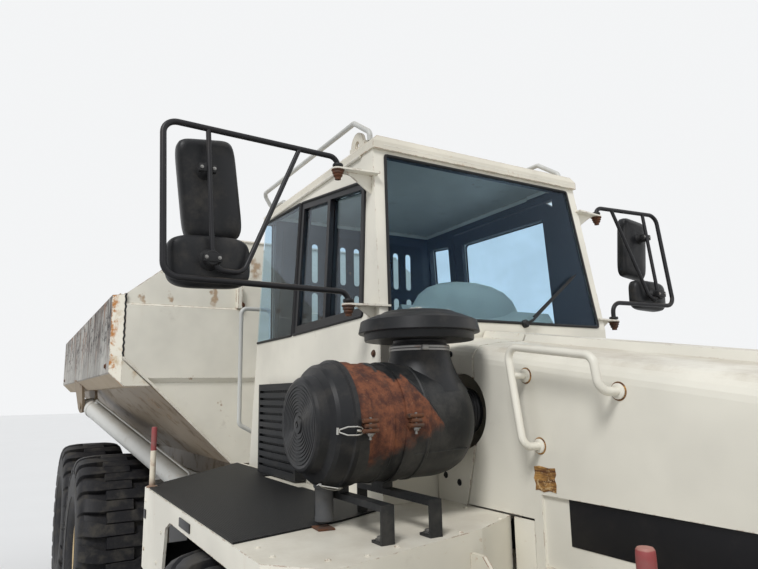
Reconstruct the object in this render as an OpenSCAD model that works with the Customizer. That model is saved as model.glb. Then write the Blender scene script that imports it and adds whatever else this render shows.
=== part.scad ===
// Articulated dump truck, three axles, with a tipping body hinged at the tail.
// Stations along the truck are measured from the front axle, forward positive.
// The origin lies on the ground under the middle of the overall length.

/* [Running gear] */
// Distance from the front axle to the middle axle
wheelbase = 4100; // [4050:10:4250]
// Distance between the two rear axles
bogie = 1700; // [1680:10:1760]
// Outer diameter of a tyre over its lugs
tyre_d = 1618; // [1600:2:1640]
// Width of a tyre
tyre_w = 620; // [600:5:640]
// Distance from the truck's middle plane to a tyre's middle
half_track = 1170; // [1160:5:1200]
// Diameter over the rim's flange
rim_d = 700; // [680:5:740]
// Radius of an axle housing
axle_r = 140; // [120:5:150]
// Half width of the bulge at an axle's middle
diff_half = 230; // [200:10:260]
// Radius of the bulge at an axle's middle
diff_r = 270; // [240:10:290]

/* [Overall reach] */
// Front axle to the bumper's face
front_reach = 2950; // [2900:10:3000]
// Rear axle to the tail of the body
tail_reach = 1070; // [1000:10:1100]

/* [Frames] */
// Half distance over the front frame's rails
rail_half = 430; // [420:5:440]
// Thickness of a frame rail
rail_t = 100; // [80:5:110]
// Underside of the front rails
rail_z0 = 985; // [970:5:1000]
// Top of the front rails
rail_z1 = 1285; // [1260:5:1300]
// Underside of the rear frame's rails
rear_rail_z0 = 1030; // [1020:5:1050]
// Top of the rear frame's rails
rear_rail_z1 = 1400; // [1380:5:1410]
// Height of the bumper's underside
bumper_z0 = 650; // [600:10:700]
// Height of the bumper's top
bumper_z1 = 1090; // [1050:5:1100]
// Half width of the bumper
bumper_half = 1250; // [1200:10:1300]

/* [Articulation] */
// Front axle to the steering pivot
hitch_back = 1300; // [1280:10:1340]
// Height of the oscillation axis
hitch_z = 950; // [940:5:960]
// Radius of the steering pivot's pin
hitch_pin_r = 60; // [50:5:65]
// Radius of the oscillation trunnion
trunnion_r = 150; // [140:5:160]
// Running gap at a bearing
bearing_gap = 0.4; // [0.3:0.1:0.6]
// Gap between moving pieces
gap = 6; // [5:1:8]

/* [Decks] */
// Height of the deck's top
deck_z = 1700; // [1690:5:1710]
// Thickness of the deck plates
deck_t = 12; // [10:1:16]
// Half width over the decks
deck_half = 1395; // [1380:5:1410]
// Depth of the deck's edge above the wheel arch
arch_lip = 75; // [70:1:80]
// Underside of the plates behind the wheel
apron_z = 1330; // [1300:10:1360]
// Underside of the plates ahead of the wheel
front_apron_z = 1425; // [1420:5:1450]

/* [Hood] */
// Half width of the hood
hood_half = 425; // [415:5:430]
// Thickness of the hood's skin
hood_t = 25; // [20:1:30]
// Height of the hood's top edge at the windscreen
hood_rear_z = 2360; // [2340:5:2375]
// Slope of the hood's top towards the nose, in degrees
hood_drop = 8.2; // [7:0.1:9]
// Height of the raised middle of the hood
hood_rise = 30; // [20:1:40]
// Radius of the hood's long edges
hood_edge_r = 70; // [50:5:90]
// Lower edge of the hood ahead of the decks
hood_low_z = 1300; // [1295:5:1320]
// Hood's nose, back from the bumper's face
nose_back = 110; // [90:10:150]
// Radius of the duct hole in the hood's side
duct_hole_r = 148; // [140:2:155]

/* [Cab] */
// Height of the roof's top
roof_z = 3308; // [3300:1:3320]
// Half width of the roof
roof_half = 647; // [640:1:660]
// Length of the roof
roof_len = 1434; // [1420:1:1450]
// Half width of the cab at its waist and below
waist_half = 690; // [685:1:700]
// Height of the waist, at the windows' lower edge
waist_z = 2440; // [2430:1:2450]
// How far the windscreen's foot stands ahead of the roof
screen_rake = 95; // [80:1:110]
// Thickness of a cab wall
wall_t = 50; // [40:1:55]
// Thickness of the glass
glass_t = 8; // [6:1:10]
// Height of the cab floor's underside
cab_floor_z = 1600; // [1590:5:1620]
// Thickness of the roof
roof_t = 55; // [45:1:60]
// Front edge of the door, back from the roof's front
door_front = 140; // [130:1:160]
// Length of the door
door_len = 930; // [900:10:960]
// Diameter of a mirror arm's tube
mirror_tube_d = 24; // [20:1:28]

/* [Air cleaner] */
// Radius of the air cleaner's drum
drum_r = 205; // [200:1:212]
// Outboard end of the drum, from the middle plane
drum_out = 1160; // [1140:1:1170]
// Inboard end of the drum, from the middle plane
drum_in = 560; // [540:1:570]
// Height of the drum's axis
drum_z = 2037; // [2030:1:2045]
// Station of the drum's axis
drum_x = 241; // [236:1:250]
// Distance from the middle plane to the rain cap's axis
cap_y = 662; // [655:1:670]
// Radius of the rain cap
cap_r = 232; // [226:1:238]

/* [Dump body] */
// Front axle to the body's front wall
body_front = 2266; // [2260:1:2290]
// Half width over the body's side boxes
body_half = 1450; // [1440:1:1460]
// Height of the body's side edge
side_z = 2832; // [2820:1:2840]
// Lower edge of the vertical side boxes
side_low_z = 2302; // [2290:1:2310]
// Half width outside the body's inner side wall
wall_half = 1370; // [1365:1:1375]
// Thickness of the body's plates
plate_t = 20; // [14:1:24]
// Half width of the floor at the front
floor_half_front = 600; // [580:1:620]
// Half width of the floor at the tail
floor_half_tail = 860; // [840:1:870]
// Underside of the floor at the front
floor_z_front = 1650; // [1640:1:1660]
// Underside of the floor at the tail
floor_z_tail = 1700; // [1690:1:1710]
// Top of the headboard
headboard_z = 3290; // [3280:1:3300]
// Half width of the headboard's top edge
headboard_half = 815; // [800:1:830]
// Rear axle to the body's hinge
tip_back = 450; // [440:5:470]
// Height of the body's hinge
tip_z = 1330; // [1320:5:1335]
// Radius of the body's hinge pin
tip_pin_r = 45; // [40:1:50]

/* [Cylinders] */
// Radius of a hoist cylinder's barrel
hoist_r = 80; // [70:1:85]
// Radius of a hoist cylinder's rod
hoist_rod_r = 50; // [40:1:52]
// Radius of a steering cylinder's barrel
steer_r = 50; // [45:1:55]
// Radius of a steering cylinder's rod
steer_rod_r = 28; // [25:1:30]

/* [Hidden] */
$fn = 48;
eps = 1;

cream = "#e9e4d2";
dark = "#232628";
steel = "#8d8f8c";
gold = "#c9ad72";
pane = "#5b7f9a";

tyre_r = tyre_d / 2;
middle_x = -wheelbase;
rear_x = -wheelbase - bogie;
tail_x = rear_x - tail_reach;
mid_x = (front_reach + tail_x) / 2;
hitch_x = -hitch_back;
roof_x = -98;
cab_rear_x = roof_x - roof_len;
screen_foot_x = roof_x + screen_rake;
nose_x = front_reach - nose_back;
tip_x = rear_x - tip_back;

// Builds its children in stations and moves them to the part's origin
module truck() translate([-mid_x, 0, 0]) children();

// A box between two corners
module block(a, b) translate([min(a[0], b[0]), min(a[1], b[1]), min(a[2], b[2])])
    cube([abs(b[0] - a[0]), abs(b[1] - a[1]), abs(b[2] - a[2])]);

// Its children and their mirror image across the middle plane
module both_sides() { children(); mirror([0, 1, 0]) children(); }

// A plate with its outline in the side view, between two half widths
module side_plate(outline, y0, y1) translate([0, y1, 0]) rotate([90, 0, 0])
    linear_extrude(y1 - y0) polygon(outline);

// A plate with its outline in the front view as [y, z], between two stations
module front_plate(outline, x0, x1) translate([x0, 0, 0]) rotate([90, 0, 90])
    linear_extrude(x1 - x0) polygon(outline);

// A cylinder across the truck
module cross_rod(x, z, r, y0, y1) translate([x, y1, z]) rotate([90, 0, 0]) cylinder(r = r, h = y1 - y0);

function unit(v) = v / norm(v);
function across(v) = abs(v[2]) < 0.9 ? unit(cross([0, 0, 1], v)) : unit(cross([1, 0, 0], v));

// Moves its children's Z axis onto the direction d at the point p
module along(p, d) {
    z = unit(d);
    x = across(z);
    y = cross(z, x);
    multmatrix([[x[0], y[0], z[0], p[0]], [x[1], y[1], z[1], p[1]], [x[2], y[2], z[2], p[2]], [0, 0, 0, 1]])
        children();
}

// A round bar from a to b
module bar(a, b, r) along(a, b - a) cylinder(r = r, h = norm(b - a));

// How far a straight tube reaches into a bend, which is that much over ten thicker
lap = 3;

// A bent tube through the points p, with bends of radius r
module bent_tube(p, d, r) {
    n = len(p);
    dirs = [for (i = [0:n - 2]) unit(p[i + 1] - p[i])];
    turn = [for (i = [0:n - 1]) i == 0 || i == n - 1 ? 0 : acos(dirs[i - 1] * dirs[i])];
    cut = [for (a = turn) r * tan(a / 2)];
    for (i = [0:n - 2])
        bar(p[i] + dirs[i] * max(cut[i] - lap, 0), p[i + 1] - dirs[i] * max(cut[i + 1] - lap, 0),
            d / 2, $fn = 16);
    for (i = [1:n - 2]) if (turn[i] > 0.5) {
        inward = unit(dirs[i] - dirs[i - 1] * (dirs[i] * dirs[i - 1]));
        x = -inward;
        y = dirs[i - 1];
        z = cross(x, y);
        c = p[i] - y * cut[i] + inward * r;
        multmatrix([[x[0], y[0], z[0], c[0]], [x[1], y[1], z[1], c[1]], [x[2], y[2], z[2], c[2]],
            [0, 0, 0, 1]])
            rotate_extrude(angle = turn[i], $fn = 32) translate([r, 0]) circle(d / 2 + lap / 10, $fn = 16);
    }
}

// Running gear

tyre_bead_r = rim_d / 2 + 0.4;
hub_r = 190;
hub_in = half_track - 150;

// Lugs in a row on each half of a tyre, their height over the crown, their width round it,
// how far they stay clear of the tyre's middle and of its side, and the crown's edge from the side
lug_count = 18;
lug_height = 45;
lug_w = 120;
lug_mid = 12;
lug_side = 64;
crown_side = 52;

// A tyre about the Y axis, centred on the wheel's middle plane; a lug's edge touches the ground
module tyre_shape() {
    w = tyre_w / 2;
    crown = tyre_r - lug_height;
    rotate([90, 0, 0]) rotate_extrude($fn = 24) polygon([
        [tyre_bead_r, -w + 62], [tyre_r - 190, -w], [crown, -w + crown_side],
        [crown, w - crown_side], [tyre_r - 190, w], [tyre_bead_r, w - 62]]);
    for (s = [0, 1], i = [0:lug_count - 1])
        mirror([0, s, 0]) rotate([0, (i + s / 2) * 360 / lug_count - asin(lug_w / 2 / tyre_r), 0])
            block([-lug_w / 2, lug_mid, -crown + 20],
                [lug_w / 2, w - lug_side, -sqrt(pow(tyre_r, 2) - pow(lug_w / 2, 2))]);
}

// A rim with its dished disc and hub, outboard towards +Y
module rim_shape() {
    w = tyre_w / 2;
    r = rim_d / 2;
    rotate([-90, 0, 0]) rotate_extrude($fn = 72) polygon([
        [0, 60], [150, 60], [165, 30], [235, 30], [250, 55], [r - 66, 75], [r - 66, w - 100],
        [r - 40, w - 60], [r, w - 60], [r, w - 80], [r - 25, w - 85], [r - 45, w - 110],
        [r - 45, -w + 110], [r - 25, -w + 85], [r, -w + 80], [r, -w + 60], [r - 40, -w + 60],
        [r - 66, -w + 100], [r - 66, 10], [240, 5], [hub_r, -20], [hub_r, hub_in - half_track],
        [0, hub_in - half_track]]);
}

module wheel_at(x, side) translate([x, side * half_track, tyre_r])
    rotate([0, 0, side > 0 ? 0 : 180]) children();

module tyre(x, side) truck() color(dark) wheel_at(x, side) tyre_shape();
module rim(x, side) truck() color(gold) wheel_at(x, side) rim_shape();

// An axle housing with its bulge, along Y
module axle(x) {
    translate([x, 0, tyre_r]) {
        cross_rod(0, 0, axle_r, -hub_in + 60, hub_in - 60);
        both_sides() cross_rod(0, 0, axle_r + 40, hub_in - 60, hub_in - bearing_gap);
        rotate([90, 0, 0]) rotate_extrude($fn = 48) polygon([[0, -diff_half], [diff_r - 90, -diff_half],
            [diff_r, -diff_half + 110], [diff_r, diff_half - 110], [diff_r - 90, diff_half],
                [0, diff_half]]);
    }
}

module front_axle() truck() color(steel) {
    axle(0);
    both_sides() block([-110, rail_half - rail_t, tyre_r], [110, rail_half, rail_z0]);
}

module rear_axles() truck() color(steel) for (x = [middle_x, rear_x]) axle(x);

// Walking beams that rest on the axles and pivot between them
beam_in = 500;
beam_out = 620;
beam_x = (middle_x + rear_x) / 2;
beam_pin_z = 1110;

module walking_beams() truck() color(steel) both_sides() {
    h = bogie / 2;
    difference() {
        translate([beam_x, 0, 0]) side_plate([[-h - 130, tyre_r + axle_r - 30],
            [-h + 130, tyre_r + axle_r - 30],
            [-160, beam_pin_z - 150], [160, beam_pin_z - 150], [h - 130, tyre_r + axle_r - 30],
            [h + 130, tyre_r + axle_r - 30], [h + 130, tyre_r + axle_r + 60], [200, beam_pin_z + 120],
            [-200, beam_pin_z + 120], [-h - 130, tyre_r + axle_r + 60]], beam_in, beam_out);
        for (x = [middle_x, rear_x]) cross_rod(x, tyre_r, axle_r, beam_in - eps, beam_out + eps);
        cross_rod(beam_x, beam_pin_z, 70, beam_in - eps, beam_out + eps);
    }
}

// Frames

lug_r = 175;
lug_t = 70;
hitch_half_z = 180;

module front_frame() truck() color(cream) {
    front = nose_x - 60;
    rear = hitch_x + 600;
    difference() {
        union() {
            both_sides() side_plate([[front, rail_z0], [front, rail_z1], [rear, rail_z1],
                [rear, hitch_z - 200],
                [rear + 180, hitch_z - 200], [steer_root[0] + 60, hitch_z - 100],
                [steer_root[0] + 180, rail_z0]], rail_half - rail_t, rail_half);
            // Cross members
            for (x = [rear + 20, 210, 1900, front - 120])
                block([x, -rail_half + rail_t, rail_z0], [x + 120, rail_half - rail_t, rail_z1 - 60]);
            // Fork that carries the steering pivot
            for (s = [-1, 1]) {
                z = hitch_z + s * (hitch_half_z + gap) + (s < 0 ? -lug_t : 0);
                translate([0, 0, z]) linear_extrude(lug_t) {
                    translate([hitch_x, 0]) circle(lug_r);
                    polygon([[hitch_x, lug_r], [rear + 130, rail_half], [rear + 130, -rail_half],
                        [hitch_x, -lug_r]]);
                }
            }
            // Web between the fork's plates
            block([hitch_x + lug_r + 15, -180, hitch_z - hitch_half_z - gap - eps],
                [rear + 130, 180, hitch_z + hitch_half_z + gap + eps]);
            // Lugs that carry the steering cylinders
            both_sides() for (s = [-1, 1]) {
                z = hitch_z + s * (steer_r + gap) + (s < 0 ? -25 : 0);
                block([steer_root[0] - 55, rail_half, z], [steer_root[0] + 55, steer_root[1] + 60, z + 25]);
            }
        }
        translate([hitch_x, 0, hitch_z - 300]) cylinder(r = hitch_pin_r + bearing_gap, h = 600);
    }
    both_sides() {
        translate([steer_root[0], steer_root[1], hitch_z - 95]) cylinder(r = steer_pin_r, h = 190);
        // Post and pin of the hood's hinge
        block([front - 30, hood_ear_y - 36, hood_pin_z - 24],
            [hood_pin_x, hood_ear_y - 8, hood_pin_z + 24]);
        cross_rod(hood_pin_x, hood_pin_z, 24, hood_ear_y - 36, hood_ear_y - 8);
        cross_rod(hood_pin_x, hood_pin_z, hood_pin_r, hood_ear_y - 10, hood_ear_y + 40);
    }
    // Beams under the cab, with posts, and the decks' outriggers
    both_sides() {
        side_plate([[cab_rear_x - 150, cab_floor_z - 170], [cab_rear_x - 150, cab_floor_z],
            [100, cab_floor_z],
            [100, rail_z1 - eps], [-40, rail_z1 - eps], [-140, cab_floor_z - 120],
                [rear + 250, cab_floor_z - 120],
            [rear + 120, rail_z1 - eps], [rear, rail_z1 - eps], [rear, cab_floor_z - 170]],
            rail_half - rail_t + 10, rail_half - 40);
        for (x = [cab_rear_x - 120, -560])
            front_plate([[rail_half - 50, cab_floor_z - 110], [rail_half - 50, cab_floor_z - 10],
                [waist_half + 20, cab_floor_z - 10], [waist_half + 20, deck_z - deck_t],
                [850, deck_z - deck_t], [850, deck_z - deck_t - 50],
                [waist_half + 70, cab_floor_z - 110]], x, x + 60);
        front_plate([[rail_half - eps, rail_z1 - 150], [rail_half - eps, rail_z1],
            [rail_half + 40, deck_z - deck_t],
            [1150, deck_z - deck_t], [1150, deck_z - deck_t - 60],
                [rail_half + 170, deck_z - deck_t - 110]], 380, 430);
    }
}

steer_root = [-480, 590];
steer_pin_r = 25;

// Hinge under the hood's nose
hood_pin_x = nose_x - 30;
hood_pin_z = hood_low_z - 170;
hood_pin_r = 12;
hood_ear_y = hood_half - 54;

module hitch() truck() color(steel) {
    difference() {
        union() {
            translate([hitch_x, 0, hitch_z - hitch_half_z]) cylinder(r = lug_r - 15, h = 2 * hitch_half_z);
            block([hitch_x - 300, -lug_r + 25, hitch_z - hitch_half_z],
                [hitch_x, lug_r - 25, hitch_z + hitch_half_z]);
            translate([hitch_x - 340, 0, hitch_z]) rotate([0, 90, 0]) cylinder(r = 270, h = 70);
            translate([hitch_x - 800, 0, hitch_z]) rotate([0, 90, 0]) cylinder(r = trunnion_r, h = 480);
            // Arms for the steering cylinders' eyes
            both_sides() block([steer_eye[0] - 45, 150, hitch_z + steer_r + gap + eps],
                [steer_eye[0] + 45, steer_eye[1] + 60, hitch_z + steer_r + 40]);
        }
        translate([hitch_x, 0, 0]) cylinder(r = hitch_pin_r + bearing_gap, h = 2000);
    }
    translate([hitch_x, 0, hitch_z - hitch_half_z - lug_t - 30])
        cylinder(r = hitch_pin_r, h = 2 * hitch_half_z + 2 * lug_t + 60);
}

rear_rail_in = 300;
rear_rail_out = 400;
rear_front_x = hitch_x - 350;
hoist_foot = [-2585, 730, 1385];
hoist_head = [-4800, 1335, 2065];

module rear_frame() truck() color(cream) {
    tail = tip_x - 90;
    difference() {
        union() {
            // Coupling tube round the trunnion
            translate([hitch_x - 790, 0, hitch_z]) rotate([0, 90, 0]) cylinder(r = trunnion_r + 90,
                h = 440);
            both_sides() side_plate([[hitch_x - 560, hitch_z - 180], [hitch_x - 560, hitch_z + 180],
                [hitch_x - 900, rear_rail_z1], [tail, rear_rail_z1], [tail, rear_rail_z1 - 190],
                [rear_x, rear_rail_z0], [hitch_x - 1200, rear_rail_z0], [hitch_x - 850, hitch_z - 180]],
                rear_rail_in, rear_rail_out);
            block([hitch_x - 780, -rear_rail_out, hitch_z - 180],
                [hitch_x - 680, rear_rail_out, hitch_z + 180]);
            for (x = [middle_x + 450, beam_x - 60, rear_x - 300])
                block([x, -rear_rail_in - eps, rear_rail_z0 + 60],
                    [x + 120, rear_rail_in + eps, rear_rail_z1 - 60]);
            // Outriggers under the hoist cylinders' feet
            both_sides() side_plate([[hoist_foot[0] - 170, hoist_foot[2] - 210],
                [hoist_foot[0] + 170, hoist_foot[2] - 210],
                [hoist_foot[0] + 120, hoist_foot[2] - 95], [hoist_foot[0] - 120, hoist_foot[2] - 95]],
                rear_rail_out - eps, hoist_foot[1] + 55);
        }
        translate([hitch_x - 800, 0, hitch_z]) rotate([0, 90, 0])
            cylinder(r = trunnion_r + bearing_gap, h = 600);
    }
    // Pins of the body's hinge and of the walking beams
    cross_rod(tip_x, tip_z, tip_pin_r, -500, 500);
    both_sides() cross_rod(beam_x, beam_pin_z, 70, rear_rail_in + eps, beam_out + 20);
}

bumper_t = 15;
bumper_x = front_reach - 95;

// Tow jaw: height of its middle, half its opening, thickness of a cheek, half width and pin hole
jaw_z = bumper_z0 + 110;
jaw_open = 25;
jaw_t = 30;
jaw_half = 90;
jaw_pin_r = 26;
jaw_pin_x = front_reach - 45;

// Headlamp's middle and half width, and its lower and upper edges
lamp_y = 880;
lamp_half = 150;
lamp_z0 = bumper_z0 + 170;
lamp_z1 = bumper_z0 + 330;

module front_bumper() truck() color(cream) {
    back = nose_x - 60;
    difference() {
        union() {
            difference() {
                block([bumper_x, -bumper_half, bumper_z0], [bumper_x + bumper_t, bumper_half, bumper_z1]);
                block([bumper_x - eps, -jaw_half - 30, jaw_z - 80],
                    [bumper_x + 20, jaw_half + 30, jaw_z + 80]);
            }
            block([back, -rail_half, jaw_z - 50], [bumper_x, rail_half, jaw_z + 50]);
            both_sides() {
                block([back, rail_half - rail_t, jaw_z + 50], [bumper_x, rail_half, bumper_z1]);
                block([nose_x - 400, bumper_half - bumper_t, bumper_z0],
                    [bumper_x, bumper_half, bumper_z1]);
                block([nose_x - 400, rail_half, bumper_z1 - bumper_t],
                    [bumper_x, bumper_half - bumper_t, bumper_z1]);
            }
            for (z = [jaw_z - jaw_open - jaw_t, jaw_z + jaw_open])
                block([back, -jaw_half, z], [front_reach, jaw_half, z + jaw_t]);
        }
        translate([jaw_pin_x, 0, jaw_z - 100]) cylinder(r = jaw_pin_r, h = 200);
        block([bumper_x - 35, -jaw_half - 10, jaw_z - jaw_open],
            [front_reach + 10, jaw_half + 10, jaw_z + jaw_open]);
        both_sides() block([bumper_x - 20, lamp_y - lamp_half, lamp_z0],
            [bumper_x + 20, lamp_y + lamp_half, lamp_z1]);
    }
}

module headlamps() truck() color("#dfe6ea") both_sides()
    block([bumper_x - 35, lamp_y - lamp_half, lamp_z0], [bumper_x + 12, lamp_y + lamp_half, lamp_z1]);

module engine() truck() color(steel) {
    mount = rail_half - rail_t - 0.3;
    block([350, -290, rail_z0 - 120], [1750, 290, 1900]);
    for (x = [500, 1500]) block([x, -mount, rail_z0 + 80], [x + 100, mount, rail_z0 + 180]);
}

// Tanks hung under the decks, behind the front wheels
module side_tanks() truck() color(dark) both_sides()
    side_plate([[-1240, 1010], [-1210, 980], [-890, 980], [-860, 1010], [-860, deck_z - deck_t],
        [-1240, deck_z - deck_t]],
        waist_half + 35, 1245);

// Hood and cowl

// The seam rises from the deck to the duct's hole, slanting the way the hood lifts
seam_x = 270;
seam_low_x = 205;
seam_high_z = 1939;
seam_gap = gap + 4;
hood_front_x = nose_x;

// The seam's line, moved back by b, and closed round the side x
function seam_outline(b, x) = [[x, 1000], [seam_low_x - b, 1000], [seam_low_x - b, deck_z + gap],
    [seam_x - b, seam_high_z], [seam_x - b, 3000], [x, 3000]];

// Outline of the hood's section at the windscreen, from the height z0 up, shrunk by t
module hood_section(z0, t) {
    w = hood_half - t;
    r = hood_edge_r;
    top = hood_rear_z - t;
    polygon(concat([[-w, z0], [w, z0]],
        [for (a = [0:15:75]) [w - r + r * cos(a), top - r + r * sin(a)]],
        [[w - r, top], [w - r - 80, top + 12], [150, top + 20], [135, top + 20 + hood_rise],
         [-135, top + 20 + hood_rise], [-150, top + 20], [-w + r + 80, top + 12], [-w + r, top]],
        [for (a = [105:15:180]) [-w + r + r * cos(a), top - r + r * sin(a)]]));
}

// Solid under the hood's sloping top, between two stations
module hood_solid(x0, x1, z0, t) intersection() {
    translate([screen_foot_x, 0, hood_rear_z]) rotate([0, hood_drop, 0]) translate([-600, 0, -hood_rear_z])
        rotate([90, 0, 90]) linear_extrude(4200) hood_section(-800, t);
    block([x0, -hood_half, z0], [x1, hood_half, 3000]);
}

duct_hole_x = 185;
duct_hole_z = 2060;
duct_r = 90;
module duct_hole() cross_rod(duct_hole_x, duct_hole_z, duct_hole_r, -hood_half - 50, -hood_half + 120);

module hood() truck() color(cream) {
    hood_skin();
    // Ears of the hinge
    both_sides() difference() {
        union() {
            block([hood_pin_x - 24, hood_ear_y, hood_pin_z],
                [hood_pin_x + 24, hood_half - hood_t + eps, hood_low_z + 30]);
            cross_rod(hood_pin_x, hood_pin_z, 24, hood_ear_y, hood_half - hood_t + eps);
        }
        cross_rod(hood_pin_x, hood_pin_z, hood_pin_r + bearing_gap, hood_ear_y - 10, hood_half);
    }
}

module hood_skin() difference() {
    hood_solid(seam_low_x, hood_front_x, hood_low_z, 0);
    hood_solid(seam_low_x - 10, hood_front_x - hood_t, hood_low_z - 10, hood_t);
    side_plate(seam_outline(0, 0), -hood_half - 10, hood_half + 10);
    // The hood's sides stop above the decks
    both_sides() block([0, 0, 0], [560, hood_half + 10, deck_z + gap]);
    // Recess along each side
    both_sides() block([600, hood_half - 10, 1560], [hood_front_x - 350, hood_half + 10, 1790]);
    duct_hole();
    // Opening of the grille
    block([hood_front_x - 60, -hood_half + 60, hood_low_z + 60], [hood_front_x + 10, hood_half - 60, 1900]);
}

module grille() truck() color(dark) {
    w = hood_half - 60;
    z0 = hood_low_z + 60;
    difference() {
        block([hood_front_x - hood_t, -w, z0], [hood_front_x - 5, w, 1900]);
        block([hood_front_x - 40, -w + 25, z0 + 25], [hood_front_x, w - 25, 1875]);
    }
    for (z = [z0 + 60:45:1860])
        translate([hood_front_x - 12, 0, z]) rotate([0, 30, 0]) cube([18, 2 * w - 48, 4], center = true);
}

module cowl() truck() color(cream) difference() {
    hood_solid(screen_foot_x + 8, seam_x - seam_gap, deck_z - 200, 0);
    hood_solid(screen_foot_x - 5, seam_x + 20, deck_z - 210, hood_t);
    side_plate(seam_outline(seam_gap, 600), -hood_half - 10, hood_half + 10);
    duct_hole();
}

module hood_rail() truck() color(cream) {
    y = -hood_half;
    o = y - 75;
    bent_tube([[606, y - 0.3, 1950], [606, o, 1950], [548, o, 2290], [900, o, 2238], [945, o, 2130],
        [945, y - 0.3, 2130]], 30, 45);
    bar([556, o + 4, 2188], [556, y - 0.3, 2188], 13);
    for (p = [[606, 1950], [945, 2130], [556, 2188]])
        translate([p[0], y - 0.3, p[1]]) rotate([90, 0, 0]) cylinder(r = 34, h = 8);
}

// Decks

deck_rear_y = 670;
deck_rear_x = -1863;
flange = 60;
deck_outline = [[deck_rear_x, deck_rear_y], [-1120, deck_half], [550, deck_half], [710, 1255], [555, 650],
    [440, hood_half + 0.3], [20, hood_half + 0.3], [20, waist_half + 8], [-1660, waist_half + 8],
        [-1660, deck_rear_y]];

// The corner i of the outline p, moved inward by t where it runs clockwise, and by -t otherwise
function inset(p, i, t) = let (n = len(p), a = unit(p[i] - p[(i + n - 1) % n]),
    b = unit(p[(i + 1) % n] - p[i]),
    u = [a[1], -a[0]], v = [b[1], -b[0]]) p[i] + (u + v) / (1 + u * v) * t;

// A skirt under the deck along the outline's corners i0 to i1, down to z0
module skirt(i0, i1, z0) translate([0, 0, z0]) linear_extrude(deck_z - z0 - deck_t + eps)
    polygon(concat([for (i = [i0:i1]) deck_outline[i]],
        [for (i = [i1:-1:i0]) inset(deck_outline, i, deck_t)]));

module deck() {
    translate([0, 0, deck_z - deck_t]) linear_extrude(deck_t) polygon(deck_outline);
    // Outboard plate with the wheel arch
    side_plate([[-1120, deck_z - deck_t + eps], [-1120, apron_z], [-740, apron_z], [-665, 1390],
        [-620, 1590],
        [-540, deck_z - arch_lip], [430, deck_z - arch_lip], [500, 1575], [535, front_apron_z],
        [549, front_apron_z], [549, deck_z - deck_t + eps]], deck_half - deck_t, deck_half);
    skirt(2, 5, front_apron_z);
    skirt(0, 1, deck_z - deck_t - flange);
}

module deck_right() truck() color(cream) mirror([0, 1, 0]) deck();
module deck_left() truck() color(cream) deck();

module deck_mats() truck() color(dark) both_sides() translate([0, 0, deck_z])
    linear_extrude(6) polygon([[-1840, 705], [-1140, deck_half - 50], [-1050, deck_half - 60],
        [-1050, deck_half - 8], [300, deck_half - 5], [190, 970], [100, waist_half + 90],
        [-600, waist_half + 90], [-600, waist_half + 110], [-1110, waist_half + 110], [-1110, 705]]);

module front_mudflaps() truck() color(dark) both_sides()
    block([-859, half_track - tyre_w / 2 + 20, 760], [-847, deck_half - deck_t, 1480]);

// Boxes ahead of the front wheels, with the steps that lead up to the decks
box_x0 = 1130;
step_rise = 205;
step_t = 15;
step_in = 700;
step_out = 1120;

module front_boxes() truck() color(cream) both_sides() {
    difference() {
        block([box_x0, rail_half, bumper_z0 + 60], [nose_x - 400, bumper_half - 100, bumper_z1]);
        block([box_x0 + 60, bumper_half - 110, bumper_z0 + 110],
            [nose_x - 460, bumper_half, bumper_z1 - 50]);
    }
    for (y = [step_in, step_out]) {
        top_x = deck_front_at(y + step_t) + 0.3;
        side_plate([[box_x0, bumper_z1 - eps], [box_x0 + 70, bumper_z1 - eps], [top_x + 60, deck_z - 60],
            [top_x, deck_z - 60], [top_x, deck_z - 150]], y, y + step_t);
    }
    for (i = [1:2])
        block([980 - i * 130, step_in + step_t - eps, bumper_z1 + i * step_rise - 30],
            [1190 - i * 130, step_out + eps, bumper_z1 + i * step_rise]);
}

function deck_front_at(y) = 555 + (y - 650) * (710 - 555) / (1255 - 650);

module marker_poles() truck() color("#a33a30") {
    for (s = [-1, 1]) {
        translate([-1085, s * (deck_half - 26), deck_z]) cylinder(d = 44, h = 290);
        translate([1265, s * 780, bumper_z1]) cylinder(d = 50, h = 710);
    }
}

// Cab

cab_top_z = roof_z - roof_t;
cab_back_lean = 130;

// Solid of the cab's outside, drawn in by t
module cab_solid(t) {
    top = [roof_x - 18 - t, cab_rear_x + t, roof_half - t];
    waist = [screen_foot_x - t, cab_rear_x + t, waist_half - t];
    foot = [screen_foot_x - t, cab_rear_x - cab_back_lean + t, waist_half - t];
    lower = cab_floor_z + t;
    hull() {
        block([top[1], -top[2], cab_top_z + (t > 0 ? 5 : 0) - 1], [top[0], top[2],
            cab_top_z + (t > 0 ? 5 : 0)]);
        block([waist[1], -waist[2], waist_z], [waist[0], waist[2], waist_z + 1]);
    }
    hull() {
        block([waist[1], -waist[2], waist_z], [waist[0], waist[2], waist_z + 1]);
        block([foot[1], -foot[2], lower], [foot[0], foot[2], lower + 1]);
    }
}

screen_outline = [[-waist_half + 50, waist_z + 15], [waist_half - 50, waist_z + 15],
    [roof_half - 62, cab_top_z - 36], [-roof_half + 62, cab_top_z - 36]];
slider_outline = [[-945, waist_z + 15], [-155, waist_z + 30], [-170, 3100], [-925, 3205]];
slider_mid_x = -560;
// Depth of the rear and the front sliding pane inside the wall
pane_depths = [14, 26];
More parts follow.
